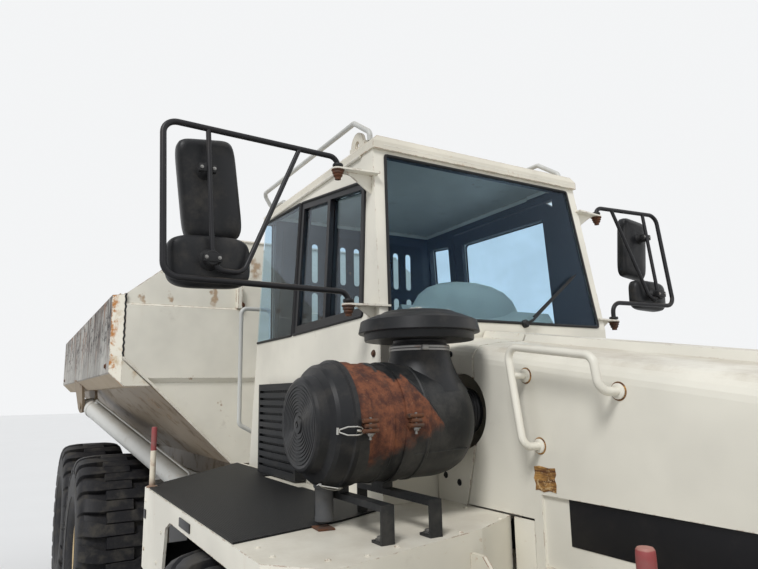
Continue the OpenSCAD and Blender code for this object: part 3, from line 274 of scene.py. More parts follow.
    def pillow(self, low: Vector, high: Vector, crown: float, grooves: Sequence[float] = (),
               cuts: int = 22, firmness: float = 5.0) -> "Sculpt":
        """Adds a crowned cushion whose sides pull in between its corners.

        Args:
            low: One corner of the box that it fills.
            high: The opposite corner.
            crown: How far its broad faces swell, as a share of its thickness.
            grooves: Places of the sewn channels across it, from -1 to 1.
            cuts: Number of cuts along each edge.
            firmness: Power of the rounding, higher for squarer corners.

        Returns:
            The mesh itself.
        """
        cube = bmesh.new()
        bmesh.ops.create_cube(cube, size=2.0)
        bmesh.ops.subdivide_edges(cube, edges=cube.edges[:], cuts=cuts, use_grid_fill=True)
        middle, half = (low + high) / 2, (high - low) / 2
        for v in cube.verts:
            x, y, z = v.co
            size = (abs(x) ** firmness + abs(y) ** firmness + abs(z) ** firmness) ** (1 / firmness)
            x, y, z = x / size, y / size, z / size
            z *= 1 - crown + crown * (1 - x * x) * (1 - y * y) * 2
            for g in grooves:
                z *= 1 - 0.16 * math.exp(-((x - g) / 0.045) ** 2)
            v.co = middle + Vector((x * half.x, y * half.y, z * half.z))
        mesh = bpy.data.meshes.new("cushion")
        cube.to_mesh(mesh)
        cube.free()
        return self.add(mesh)

    def add(self, mesh: Mesh, place: Matrix = Matrix.Identity(4)) -> "Sculpt":
        """Adds a finished mesh, moved by a matrix, and removes that mesh from the file.

        Args:
            mesh: The mesh to take in.
            place: Matrix that carries it into the frame.

        Returns:
            The mesh itself.
        """
        mesh.transform(place)
        self.bm.from_mesh(mesh)
        bpy.data.meshes.remove(mesh)
        return self

    def mesh(self, name: str, merge: float = 1e-5) -> Mesh:
        """Closes the work and hands out a mesh with its faces outward.

        Args:
            name: Name of the mesh.
            merge: Distance under which points become one.

        Returns:
            The mesh.
        """
        bmesh.ops.remove_doubles(self.bm, verts=self.bm.verts, dist=merge)
        bmesh.ops.recalc_face_normals(self.bm, faces=self.bm.faces)
        mesh = bpy.data.meshes.new(name)
        self.bm.to_mesh(mesh)
        self.bm.free()
        return mesh

    def piece(self, name: str, body: str, finish: Material, slot: Slot,
              replaces: Iterable[str] = (), sharp: float = 32.0) -> bpy.types.Object:
        """Turns the work into a piece that rides on a body.

        Args:
            name: Name of the piece.
            body: Body that it rides on.
            finish: Its material.
            slot: Record slot of that material; not used.
            replaces: CAD nodes that it stands for.
            sharp: Angle in degrees over which an edge stays sharp.

        Returns:
            The object.
        """
        mesh = self.mesh(name)
        mesh.polygons.foreach_set("use_smooth", [True] * len(mesh.polygons))
        mesh.set_sharp_from_angle(angle=math.radians(sharp))
        mesh.materials.clear()
        mesh.materials.append(finish)
        mesh.polygons.foreach_set("material_index", [0] * len(mesh.polygons))
        piece = bpy.data.objects.new(name, mesh)
        bpy.context.scene.collection.objects.link(piece)
        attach(piece, body)
        for node in replaces:
            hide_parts(node)
        LOG.info("%s on %s: %d faces", name, body, len(mesh.polygons))
        return piece


def facing(point: Vector, direction: Vector) -> Matrix:
    """Matrix that carries the local Z axis onto a direction at a point."""
    return Matrix.Translation(point) @ direction.to_track_quat("Z", "Y").to_matrix().to_4x4()


# Repeats


class Repeats:
    """Geometry node trees for what repeats: rings, rows, and fasteners at marked points."""

    def __init__(self) -> None:
        """Builds the three trees."""
        self.ring_tree = self._ring()
        self.row_tree = self._row()
        self.spread_tree = self._spread()

    @staticmethod
    def _start(name: str, inputs: Sequence[tuple[str, str, object]]) -> tuple:
        """Makes a tree with its named inputs.

        Args:
            name: Name of the tree.
            inputs: Name, socket type and default value of each input.

        Returns:
            The tree, its input node and its output node.
        """
        tree = bpy.data.node_groups.new(name, "GeometryNodeTree")
        tree.interface.new_socket("Geometry", in_out="INPUT", socket_type="NodeSocketGeometry")
        for label, kind, default in inputs:
            socket = tree.interface.new_socket(label, in_out="INPUT", socket_type=kind)
            if default is not None:
                socket.default_value = default
        tree.interface.new_socket("Geometry", in_out="OUTPUT", socket_type="NodeSocketGeometry")
        return tree, tree.nodes.new("NodeGroupInput"), tree.nodes.new("NodeGroupOutput")

    @staticmethod
    def _close(tree: bpy.types.NodeTree, begin: bpy.types.Node, instances: bpy.types.Node,
               end: bpy.types.Node) -> None:
        """Ends a tree in Realize Instances and Set Material.

        Args:
            tree: The tree.
            begin: Its input node.
            instances: Node that hands out the instances.
            end: Its output node.
        """
        realize = tree.nodes.new("GeometryNodeRealizeInstances")
        paint = tree.nodes.new("GeometryNodeSetMaterial")
        tree.links.new(instances.outputs[0], realize.inputs[0])
        tree.links.new(realize.outputs[0], paint.inputs["Geometry"])
        tree.links.new(begin.outputs["Material"], paint.inputs["Material"])
        tree.links.new(paint.outputs[0], end.inputs[0])

    def _ring(self) -> bpy.types.NodeTree:
        """A tree that repeats its geometry round the Y axis.

        Returns:
            The tree.
        """
        tree, begin, end = self._start("ring_of_parts", [("Count", "NodeSocketInt", 12),
                                                         ("Phase", "NodeSocketFloat", 0.0),
                                                         ("Material", "NodeSocketMaterial", None)])
        line = tree.nodes.new("GeometryNodeMeshLine")
        line.inputs["Offset"].default_value = (0, 0, 0)
        index = tree.nodes.new("GeometryNodeInputIndex")
        share = tree.nodes.new("ShaderNodeMath")
        share.operation = "DIVIDE"
        turn = tree.nodes.new("ShaderNodeMath")
        turn.operation = "MULTIPLY_ADD"
        turn.inputs[1].default_value = 2 * math.pi
        spin = tree.nodes.new("ShaderNodeCombineXYZ")
        copies = tree.nodes.new("GeometryNodeInstanceOnPoints")
        for a, b in ((begin.outputs["Count"], line.inputs["Count"]), (index.outputs[0], share.inputs[0]),
                     (begin.outputs["Count"], share.inputs[1]), (share.outputs[0], turn.inputs[0]),
                     (begin.outputs["Phase"], turn.inputs[2]), (turn.outputs[0], spin.inputs["Y"]),
                     (line.outputs[0], copies.inputs["Points"]),
                     (begin.outputs["Geometry"], copies.inputs["Instance"]),
                     (spin.outputs[0], copies.inputs["Rotation"])):
            tree.links.new(a, b)
        self._close(tree, begin, copies, end)
        return tree

    def _row(self) -> bpy.types.NodeTree:
        """A tree that repeats its geometry along a line.

        Returns:
            The tree.
        """
        tree, begin, end = self._start("row_of_parts", [("Count", "NodeSocketInt", 12),
                                                        ("Step", "NodeSocketVector", None),
                                                        ("Material", "NodeSocketMaterial", None)])
        line = tree.nodes.new("GeometryNodeMeshLine")
        copies = tree.nodes.new("GeometryNodeInstanceOnPoints")
        for a, b in ((begin.outputs["Count"], line.inputs["Count"]),
                     (begin.outputs["Step"], line.inputs["Offset"]),
                     (line.outputs[0], copies.inputs["Points"]),
                     (begin.outputs["Geometry"], copies.inputs["Instance"])):
            tree.links.new(a, b)
        self._close(tree, begin, copies, end)
        return tree

    def _spread(self) -> bpy.types.NodeTree:
        """A tree that sets a fastener on each point, turned the way the point faces and spun at random.

        Returns:
            The tree.
        """
        tree, begin, end = self._start("fasteners_on_points", [("Fastener", "NodeSocketObject", None),
                                                               ("Seed", "NodeSocketInt", 7),
                                                               ("Material", "NodeSocketMaterial", None)])
        part = tree.nodes.new("GeometryNodeObjectInfo")
        way = tree.nodes.new("GeometryNodeInputNamedAttribute")
        way.data_type = "FLOAT_VECTOR"
        way.inputs["Name"].default_value = "facing"
        spin = tree.nodes.new("FunctionNodeRandomValue")
        spin.data_type = "FLOAT"
        spin.inputs[3].default_value = 6.28
        flat = tree.nodes.new("ShaderNodeCombineXYZ")
        turn = tree.nodes.new("FunctionNodeAlignRotationToVector")
        turn.axis = "Z"
        copies = tree.nodes.new("GeometryNodeInstanceOnPoints")
        whirl = tree.nodes.new("GeometryNodeRotateInstances")
        for a, b in ((begin.outputs["Fastener"], part.inputs["Object"]),
                     (begin.outputs["Seed"], spin.inputs["Seed"]), (way.outputs[0], turn.inputs["Vector"]),
                     (spin.outputs[1], flat.inputs["Z"]),
                     (begin.outputs["Geometry"], copies.inputs["Points"]),
                     (part.outputs["Geometry"], copies.inputs["Instance"]),
                     (turn.outputs[0], copies.inputs["Rotation"]),
                     (copies.outputs[0], whirl.inputs["Instances"]),
                     (flat.outputs[0], whirl.inputs["Rotation"])):
            tree.links.new(a, b)
        self._close(tree, begin, whirl, end)
        return tree

    @staticmethod
    def _evaluate(mesh: Mesh, tree: bpy.types.NodeTree, values: dict[str, object]) -> Mesh:
        """Runs a tree on a mesh.

        Args:
            mesh: Geometry that goes in.
            tree: Tree to run.
            values: Value of each named input.

        Returns:
            The plain mesh that comes out.
        """
        holder = bpy.data.objects.new("holder", mesh)
        bpy.context.scene.collection.objects.link(holder)
        modifier = holder.modifiers.new("repeat", "NODES")
        modifier.node_group = tree
        names = {s.name: s.identifier for s in tree.interface.items_tree if s.in_out == "INPUT"}
        for name, value in values.items():
            modifier[names[name]] = value
        graph = bpy.context.evaluated_depsgraph_get()
        made = bpy.data.meshes.new_from_object(holder.evaluated_get(graph), depsgraph=graph)
        bpy.data.objects.remove(holder)
        bpy.data.meshes.remove(mesh)
        return made

    def ring(self, mesh: Mesh, count: int, finish: Material, phase: float = 0.0) -> Mesh:
        """Repeats a mesh round the Y axis.

        Args:
            mesh: One part.
            count: Number of copies.
            finish: Their material.
            phase: Turn of the first copy, in radians.

        Returns:
            The mesh of the ring.
        """
        return self._evaluate(mesh, self.ring_tree, {"Count": count, "Phase": phase, "Material": finish})

    def row(self, mesh: Mesh, count: int, step: Vector, finish: Material) -> Mesh:
        """Repeats a mesh along a line.

        Args:
            mesh: One part.
            count: Number of copies.
            step: Vector from one copy to the next.
            finish: Their material.

        Returns:
            The mesh of the row.
        """
        return self._evaluate(mesh, self.row_tree, {"Count": count, "Step": tuple(step), "Material": finish})

    def spread(self, places: Sequence[tuple[Vector, Vector]], fastener: Mesh,
               finish: Material, seed: int = 7) -> Mesh:
        """Sets a fastener on each place.

        Args:
            places: Foot and outward direction of each fastener.
            fastener: Mesh of one fastener, which stands on the local Z axis.
            finish: Their material.
            seed: Seed of their random spin.

        Returns:
            The mesh of all fasteners.
        """
        points = bpy.data.meshes.new("points")
        points.from_pydata([p for p, _ in places], [], [])
        ways = points.attributes.new("facing", "FLOAT_VECTOR", "POINT")
        ways.data.foreach_set("vector", [c for _, d in places for c in d])
        one = bpy.data.objects.new("fastener", fastener)
        bpy.context.scene.collection.objects.link(one)
        made = self._evaluate(points, self.spread_tree, {"Fastener": one, "Seed": seed, "Material": finish})
        bpy.data.objects.remove(one)
        bpy.data.meshes.remove(fastener)
        return made

    def fasteners(self, name: str, body: str, places: Sequence[tuple[Vector, Vector]], fastener: Mesh,
                  finish: Material, slot: Slot) -> None:
        """Makes a piece of like fasteners.

        Args:
            name: Name of the piece.
            body: Body that it rides on.
            places: Foot and outward direction of each fastener.
            fastener: Mesh of one fastener.
            finish: Their material.
            slot: Record slot of that material.
        """
        Sculpt().add(self.spread(places, fastener, finish)).piece(name, body, finish, slot)


def hex_bolt(radius: float, height: float) -> Mesh:
    """A hexagonal bolt head on its washer.

    Args:
        radius: Radius over the head's corners, in metres.
        height: Height of the head.

    Returns:
        The mesh, which stands on the local Z axis.
    """
    head = Sculpt()
    head.lathe([(0, -0.001), (radius * 1.5, -0.001), (radius * 1.5, height * 0.22), (0, height * 0.22)],
               Matrix.Identity(4), 12)
    head.lathe([(0, height * 0.15), (radius, height * 0.15), (radius, height * 0.85), (radius * 0.84, height),
                (0, height)], Matrix.Identity(4), 6)
    return head.mesh("bolt", 1e-7)


def round_head(radius: float, height: float) -> Mesh:
    """A low domed rivet or screw head."""
    return Sculpt().lathe([(0, -0.001), (radius, -0.001), (radius, height * 0.3),
                           (radius * 0.75, height * 0.8), (radius * 0.3, height), (0, height)],
                          Matrix.Identity(4), 10).mesh("rivet", 1e-7)


# Finishes


class Board:
    """A material's node board with the moves that the finishes share."""

    def __init__(self, name: str) -> None:
        """Makes the material and finds its shader.

        Args:
            name: Name of the material.
        """
        self.material = bpy.data.materials.new(name)
        self.material.use_nodes = True
        tree = self.material.node_tree
        self.nodes, self.links = tree.nodes, tree.links
        self.shader = next(n for n in self.nodes if n.type == "BSDF_PRINCIPLED")
        self.place = self.nodes.new("ShaderNodeTexCoord").outputs["Object"]

    def put(self, kind: str, inputs: dict, **settings: object) -> bpy.types.Node:
        """Adds a node.

        Args:
            kind: Type name of the node.
            inputs: Value or socket for each input, by name or index.
            settings: Attributes of the node.

        Returns:
            The node.
        """
        node = self.nodes.new(kind)
        for name, value in settings.items():
            setattr(node, name, value)
        for name, value in inputs.items():
            if isinstance(value, Socket):
                self.links.new(value, node.inputs[name])
            else:
                node.inputs[name].default_value = value
        return node

    def noise(self, scale: float, detail: float = 4.0, rough: float = 0.55,
              stretch: Colour = (1, 1, 1), shift: Colour = (0, 0, 0)) -> Socket:
        """Cloudy noise from 0 to 1, with its scale in waves per metre."""
        spot = self.put("ShaderNodeMapping", {"Vector": self.place, "Scale": stretch, "Location": shift})
        return self.put("ShaderNodeTexNoise", {"Vector": spot.outputs[0], "Scale": scale, "Detail": detail,
                                               "Roughness": rough}).outputs[0]

    def step(self, value: Socket, low: float, high: float, start: float = 0.0, end: float = 1.0) -> Socket:
        """A smooth step of a value from low to high."""
        return self.put("ShaderNodeMapRange", {"Value": value, "From Min": low, "From Max": high,
                                               "To Min": start, "To Max": end},
                        interpolation_type="SMOOTHSTEP").outputs[0]

    def math(self, operation: str, a: object, b: object) -> Socket:
        """A sum, product or other operation on two values."""
        return self.put("ShaderNodeMath", {0: a, 1: b}, operation=operation, use_clamp=False).outputs[0]

    def blend(self, amount: object, a: object, b: object) -> Socket:
        """Colour a turned to colour b by an amount."""
        four = [v if isinstance(v, Socket) else (*v, 1.0) for v in (a, b)]
        return self.put("ShaderNodeMix", {0: amount, 6: four[0], 7: four[1]}, data_type="RGBA").outputs[2]

    def axis(self, name: str) -> Socket:
        """One of the place's coordinates."""
        return self.put("ShaderNodeSeparateXYZ", {0: self.place}).outputs[name]

    def up(self) -> Socket:
        """1 on what faces the sky and 0 on walls and undersides."""
        normal = self.put("ShaderNodeNewGeometry", {}).outputs["Normal"]
        return self.step(self.put("ShaderNodeSeparateXYZ", {0: normal}).outputs["Z"], 0.45, 0.9)

    def spots(self, places: Sequence[tuple[float, float, float, float, float]]) -> Socket:
        """Soft ragged spots.

        Args:
            places: Station, side, height, radius and drawn-down share of each spot, in millimetres.

        Returns:
            A value that is 1 inside a spot and 0 away from all.
        """
        ragged = self.put("ShaderNodeTexNoise", {"Vector": self.place, "Scale": 26, "Detail": 6})
        shift = self.put("ShaderNodeVectorMath", {0: ragged.outputs["Color"], 1: (0.5, 0.5, 0.5)},
                         operation="SUBTRACT").outputs[0]
        drift = self.put("ShaderNodeVectorMath", {0: shift, "Scale": 0.11}, operation="SCALE").outputs[0]
        moved = self.put("ShaderNodeVectorMath", {0: self.place, 1: drift}, operation="ADD").outputs[0]
        total = 0.0
        for x, y, z, radius, drawn in places:
            away = self.put("ShaderNodeVectorMath", {0: moved, 1: tuple(-at(x, y, z))},
                            operation="ADD").outputs[0]
            flat = self.put("ShaderNodeVectorMath", {0: away, 1: (1, 1, 1 / (1 + drawn))},
                            operation="MULTIPLY").outputs[0]
            far = self.put("ShaderNodeVectorMath", {0: flat}, operation="LENGTH").outputs["Value"]
            total = self.math("MAXIMUM", self.step(far, radius / 1000, radius / 2500), total)
        return total

    def edges(self, width: float, low: float = 0.03, high: float = 0.2) -> Socket:
        """Finds the edges of plates.

        Args:
            width: Radius in which an edge is looked for, in metres.
            low: Bend at which the value leaves 0.
            high: Bend at which it reaches 1.

        Returns:
            A value that is 1 along edges and 0 away from them.
        """
        bevel = self.put("ShaderNodeBevel", {"Radius": width}, samples=6)
        flat = self.put("ShaderNodeNewGeometry", {}).outputs["Normal"]
        dot = self.put("ShaderNodeVectorMath", {0: bevel.outputs[0], 1: flat},
                       operation="DOT_PRODUCT").outputs["Value"]
        return self.step(dot, 1 - low, 1 - high)

    def bump(self, height: Socket, distance: float, strength: float = 1.0) -> None:
        """Feeds a height into the shader's normal, on top of the last one.

        Args:
            height: The height, from 0 to 1.
            distance: What 1 stands for, in metres.
            strength: Share of it that shows, below 0 for pits.
        """
        node = self.put("ShaderNodeBump", {"Height": height, "Distance": distance, "Strength": strength})
        normal = self.shader.inputs["Normal"]
        if normal.is_linked:
            self.links.new(normal.links[0].from_socket, node.inputs["Normal"])
        self.links.new(node.outputs[0], normal)

    def finish(self, colour: object, rough: object, **values: float) -> Material:
        """Sets the shader's sockets.

        Args:
            colour: Base colour, as a socket or three numbers.
            rough: Roughness, as a socket or a number.
            values: Constants for other sockets, with underscores for spaces.

        Returns:
            The material.
        """
        for name, value in {"Base Color": colour, "Roughness": rough}.items():
            if isinstance(value, Socket):
                self.links.new(value, self.shader.inputs[name])
            else:
                self.shader.inputs[name].default_value = (*value, 1.0) if name == "Base Color" else value
        for name, value in values.items():
            self.shader.inputs[name.replace("_", " ")].default_value = value
        return self.material


RUST_DARK: Colour = (0.075, 0.026, 0.012)
RUST_LIGHT: Colour = (0.34, 0.125, 0.035)
MUD: Colour = (0.26, 0.20, 0.14)
DUST: Colour = (0.36, 0.29, 0.20)
STREAK: Colour = (0.42, 0.25, 0.12)
HALO: Colour = (0.46, 0.27, 0.12)
CREAM: Colour = (0.80, 0.765, 0.665)
FOOT_RUST: Colour = (0.15, 0.065, 0.032)
# Near-black painted shade for the faces inside the cab
CAB_INSIDE_SHADE: Colour = (0.019, 0.021, 0.025)
# Station, side, height, radius and drawn-down share of the stains on the body's front wall, in millimetres
BODY_STAINS: tuple = (
    (-2258, -1253, 2812, 38, 0.2), (-2258, -1087, 2825, 30, 0.4), (-2258, -766, 2875, 40, 2.2),
    (-2258, -652, 3126, 44, 0.3), (-2258, -455, 3086, 55, 0.8), (-2258, -300, 2960, 38, 1.5),
    (-2258, 240, 3105, 48, 0.5), (-2258, 620, 2900, 38, 1.8), (-2258, 1010, 2815, 35, 0.4),
    (-2262, -700, 2060, 26, 1.5), (-2262, 380, 2120, 28, 1.2), (-2262, -920, 2250, 18, 0.5))


class Finish(Protocol):
    """What can build a material."""

    def build(self) -> Material:
        """Builds the material."""


@dataclass(frozen=True)
class Paint:
    """Weathered paint on plate: fading, grime, streaks, rust spots and chipped edges, with optional painted
    shade on the faces inside the cab.
    """

    name: str
    colour: Colour
    grime: float = 0.35
    rust: float = 0.25
    streaks: float = 0.3
    chips: float = 0.5
    rough: float = 0.42
    grime_colour: Colour = (0.30, 0.25, 0.19)
    mud_top: float = 0.0
    edge_width: float = 0.008
    dusty_top: float = 0.3
    stains: tuple = ()
    gloss: float = 0.4
    inside_shade: Colour | None = None

    @staticmethod
    def _inside_cab(b: Board) -> Socket:
        """Tells the faces inside the cab's walls, which take the painted shade.

        Args:
            b: Board of the material.

        Returns:
            A value that is 1 inside and 0 outside.
        """
        def ramp(value: Socket, low: float, high: float, start: float, end: float) -> Socket:
            """A straight step of a value from low to high."""
            return b.put("ShaderNodeMapRange", {"Value": value, "From Min": low, "From Max": high,
                                                "To Min": start, "To Max": end}).outputs[0]
        z, x = b.axis("Z"), b.axis("X")
        side = b.math("LESS_THAN", b.math("ABSOLUTE", b.axis("Y"), 0.0), ramp(z, 2.440, 3.253, 0.676, 0.633))
        front = b.math("LESS_THAN", x, ramp(z, 2.440, 3.253, at(-14, 0, 0).x, at(-127, 0, 0).x))
        rear = b.math("GREATER_THAN", x, at(-1519, 0, 0).x)
        level = b.math("MULTIPLY", b.math("LESS_THAN", z, 3.258), b.math("GREATER_THAN", z, 1.645))
        return b.math("MULTIPLY", b.math("MULTIPLY", side, front), b.math("MULTIPLY", rear, level))

    def build(self) -> Material:
        """Builds the material.

        Returns:
            The material.
        """
        b = Board(self.name)
        dull = tuple(c * 0.80 for c in self.colour)
        colour = b.blend(b.step(b.noise(1.3, 4), 0.35, 0.7), self.colour, dull)
        cloud = b.noise(5.5, 8, 0.66)
        grime = b.step(cloud, 0.66 - 0.22 * self.grime, 0.86 - 0.16 * self.grime, 0, 0.25 + 0.6 * self.grime)
        colour = b.blend(grime, colour, self.grime_colour)
        run = b.noise(11, 5, 0.6, stretch=(1, 1, 0.08), shift=(3, 1, 2))
        zone = b.noise(1.9, 3, 0.5, shift=(7, 2, 5))
        streak = b.math("MULTIPLY", b.step(run, 0.60, 0.78),
                        b.step(zone, 0.46, 0.66, 0, 0.85 * self.streaks))
        colour = b.blend(streak, colour, STREAK)
        spots = b.noise(34, 6, 0.7, shift=(1, 4, 2))
        mixed = b.math("ADD", spots, b.math("MULTIPLY", zone, 0.45))
        limit = 0.995 - 0.17 * self.rust
        rust = b.step(mixed, limit, limit + 0.035)
        halo = b.step(mixed, limit - 0.07, limit + 0.02, 0, 0.45)
        edge = b.math("MULTIPLY", b.edges(self.edge_width),
                      b.step(b.noise(22, 6, 0.7, shift=(9, 9, 1)), 0.60 - 0.2 * self.chips,
                             0.66 - 0.14 * self.chips))
        worn = b.math("MAXIMUM", rust, b.math("MULTIPLY", edge, min(1.0, 0.35 + self.chips)))
        colour = b.blend(halo, colour, HALO)
        colour = b.blend(worn, colour, b.blend(b.noise(60, 3), RUST_DARK, RUST_LIGHT))
        dust = b.math("MULTIPLY", b.up(),
                      b.step(b.noise(3.5, 8, 0.7, shift=(2, 8, 4)), 0.35, 0.65, 0.1 * self.dusty_top,
                             self.dusty_top))
        colour = b.blend(dust, colour, DUST)
        if self.stains:
            colour = b.blend(b.math("MULTIPLY", b.spots(self.stains), 0.75), colour,
                             b.blend(b.noise(30, 5, 0.7), (0.16, 0.075, 0.035), (0.50, 0.30, 0.13)))
        if self.mud_top:
            low = b.step(b.math("ADD", b.axis("Z"), b.math("MULTIPLY", b.noise(6, 5), 0.6)),
                         self.mud_top, self.mud_top + 0.9, 0.85, 0)
            colour = b.blend(low, colour, MUD)
        # Painted shade: the faces inside the cab are turned near-black
        if self.inside_shade:
            colour = b.blend(self._inside_cab(b), colour, self.inside_shade)
        rough = b.step(b.math("ADD", worn, grime), 0, 1, self.rough, 0.88)
        b.bump(worn, 0.0012, -0.7)
        b.bump(b.noise(2.2, 2), 0.02, 0.22)
        b.bump(b.noise(160, 2), 0.0006, 0.25)
        return b.finish(colour, rough, Specular_IOR_Level=self.gloss)


@dataclass(frozen=True)
class Scraped:
    """Pale paint scraped by loads down to dark steel: marks, runs of rust, and a cream front end."""

    name: str
    colour: Colour = (0.47, 0.455, 0.42)
    end: Colour = (0.76, 0.72, 0.615)
    end_x: float = -2346.0
    low_z: float = 2.30

    def build(self) -> Material:
        """Builds the material.

        Returns:
            The material.
        """
        b = Board(self.name)
        colour = b.blend(b.step(b.noise(1.4, 6, 0.6), 0.3, 0.7), self.colour,
                         tuple(c * 0.62 for c in self.colour))
        level = b.math("ADD", b.axis("Z"), b.math("MULTIPLY", b.noise(2.5, 4), 0.3))
        high = b.step(level, 2.50, 2.78, 0.22, 1.0)
        runs = b.step(b.noise(12, 8, 0.74, stretch=(1, 1, 0.14)), 0.47, 0.58, 0, 0.9)
        colour = b.blend(b.math("MULTIPLY", runs, high), colour, (0.085, 0.065, 0.055))
        rusty = b.step(b.noise(7, 8, 0.75, stretch=(1, 1, 0.22), shift=(3, 3, 3)), 0.53, 0.63, 0, 0.85)
        colour = b.blend(b.math("MULTIPLY", rusty, high), colour, (0.235, 0.11, 0.055))
        marks = b.step(b.noise(16, 9, 0.8, stretch=(0.5, 1, 0.8), shift=(2, 0, 1)), 0.53, 0.57)
        colour = b.blend(b.math("MULTIPLY", marks, high), colour, (0.028, 0.022, 0.020))
        low = b.step(b.axis("Z"), self.low_z, self.low_z - 0.01)
        colour = b.blend(low, colour, b.blend(b.noise(4, 7, 0.7), (0.50, 0.42, 0.31), (0.33, 0.25, 0.17)))
        shake = b.math("MULTIPLY", b.noise(24, 6, 0.7), 0.07)
        edge = at(self.end_x, 0, 0).x + 0.035
        clean = b.step(b.math("ADD", b.axis("X"), shake), edge, edge + 0.012)
        cream = b.blend(b.step(b.noise(9, 8, 0.7), 0.5, 0.72), self.end, (0.50, 0.36, 0.20))
        orange = b.step(b.math("ADD", b.axis("X"), b.math("MULTIPLY", shake, 1.6)), edge + 0.075, edge + 0.04)
        cream = b.blend(b.math("MULTIPLY", orange, b.step(b.noise(11, 6, 0.7), 0.45, 0.55)), cream,
                        (0.45, 0.19, 0.05))
        colour = b.blend(clean, colour, cream)
        deep = b.math("MAXIMUM", b.math("MULTIPLY", marks, high), b.math("MULTIPLY", b.edges(0.012), 0.8))
        colour = b.blend(b.math("MULTIPLY", b.edges(0.012), 0.7), colour, RUST_DARK)
        b.bump(b.noise(3.0, 3), 0.03, 0.5)
        b.bump(deep, 0.0015, -0.6)
        return b.finish(colour, 0.72, Specular_IOR_Level=0.35)


@dataclass(frozen=True)
class Rubber:
    """Rubber with cloudy dust and specks, and optional fine lines across a mat."""

    name: str
    colour: Colour = (0.016, 0.016, 0.017)
    dust: Colour = (0.16, 0.145, 0.12)
    dusty: float = 0.5
    lines: float = 0.0

    def build(self) -> Material:
        """Builds the material.

        Returns:
            The material.
        """
        b = Board(self.name)
        cloud = b.noise(9, 8, 0.68)
        amount = b.step(cloud, 0.62 - 0.25 * self.dusty, 0.88 - 0.2 * self.dusty, 0, 0.35 + 0.5 * self.dusty)
        speck = b.step(b.noise(120, 3, 0.6), 0.55, 0.75, 0, 0.4 * self.dusty)
        colour = b.blend(b.math("MAXIMUM", amount, speck), self.colour, self.dust)
        b.bump(b.noise(90, 4, 0.6), 0.0015, 0.5)
        if self.lines:
            wave = b.put("ShaderNodeTexWave", {"Vector": b.place, "Scale": self.lines, "Distortion": 0.0},
                         wave_type="BANDS", bands_direction="Y")
            b.bump(wave.outputs["Fac"], 0.0012, 0.7)
        return b.finish(colour, b.step(amount, 0, 1, 0.55, 0.9), Specular_IOR_Level=0.22)


@dataclass(frozen=True)
class Drum:
    """Black drum burnt brown between its cover and a slanting seam, and bare only on its upper side."""

    name: str
    seam_out: float = 0.720
    seam_z: float = 2.051
    seam_slope: float = 0.735
    low_z: float = 2.02
    low_slope: float = -0.42
    first_strap: float = 0.985
    patches: tuple = ((300, -880, 2240, 80, 0.2), (352, -858, 2205, 62, 0.2), (330, -800, 2220, 40, 0.2))

    def build(self) -> Material:
        """Builds the material.

        Returns:
            The material.
        """
        b = Board(self.name)
        out, z = b.math("MULTIPLY", b.axis("Y"), -1.0), b.axis("Z")
        rise = b.math("MULTIPLY", b.math("SUBTRACT", z, self.seam_z), self.seam_slope)
        past = b.math("SUBTRACT", b.math("SUBTRACT", out, self.seam_out), rise)
        shake = b.math("MULTIPLY", b.math("SUBTRACT", b.noise(16, 6, 0.7), 0.5), 0.13)
        inward = b.step(b.math("ADD", past, b.math("MULTIPLY", shake, 0.1)), 0.0, 0.006)
        fall = b.math("MULTIPLY", b.math("SUBTRACT", out, self.seam_out), self.low_slope)
        by_cover = b.step(out, self.first_strap, self.first_strap + 0.02, 0, 0.13)
        floor = b.math("ADD", b.math("ADD", fall, self.low_z), by_cover)
        above = b.step(b.math("SUBTRACT", b.math("ADD", z, shake), floor), -0.02, 0.03)
        bare = b.step(b.spots(self.patches), 0.2, 0.8, 1, 0)
        mask = b.math("MULTIPLY", b.math("MULTIPLY", inward, above), bare)
        mask = b.math("MULTIPLY", mask, b.step(b.noise(7, 8, 0.7, shift=(4, 4, 4)), 0.30, 0.52, 0.35, 1.0))
        rust = b.blend(b.step(b.noise(20, 8, 0.75), 0.35, 0.68), (0.060, 0.024, 0.018), (0.215, 0.078, 0.038))
        rust = b.blend(b.step(b.noise(55, 4, 0.7), 0.6, 0.72, 0, 0.45), rust, (0.30, 0.16, 0.09))
        black = b.blend(b.step(b.noise(6, 8, 0.7), 0.42, 0.72), (0.010, 0.011, 0.012), (0.045, 0.043, 0.040))
        colour = b.blend(mask, black, rust)
        b.bump(b.noise(70, 4, 0.6), 0.0010, 0.45)
        return b.finish(colour, b.step(mask, 0, 1, 0.45, 0.85), Specular_IOR_Level=0.3)


@dataclass(frozen=True)
class Glass:
    """Tinted window glass with a film of dust, a faint mottle of painted reflection in its colour, and a
    gloss tint that, where it is not white, paints the sky's reflection.
    """

    name: str
    colour: Colour
    clear: float = 0.85
    rough: float = 0.0
    # Gloss tint; where it is not white it paints the sky's reflection
    painted_sky_tint: Colour = (1.0, 1.0, 1.0)
    bend: float = 1.45

    def build(self) -> Material:
        """Builds the material.

        Returns:
            The material.
        """
        b = Board(self.name)
        dust = b.step(b.noise(6, 7, 0.7), 0.5, 0.8, self.rough, self.rough + 0.05)
        # Painted reflection: faint lighter bands mottle the glass's colour
        tint_and_painted_mottle = b.blend(b.step(b.noise(1.6, 5, 0.62, stretch=(1, 1, 2.2)), 0.40, 0.65), self.colour,
                       tuple(min(1.0, c * 1.08) for c in self.colour))
        # The gloss tint paints the sky's reflection
        return b.finish(tint_and_painted_mottle, dust, Transmission_Weight=self.clear, IOR=self.bend,
                        Specular_Tint=(*self.painted_sky_tint, 1.0))


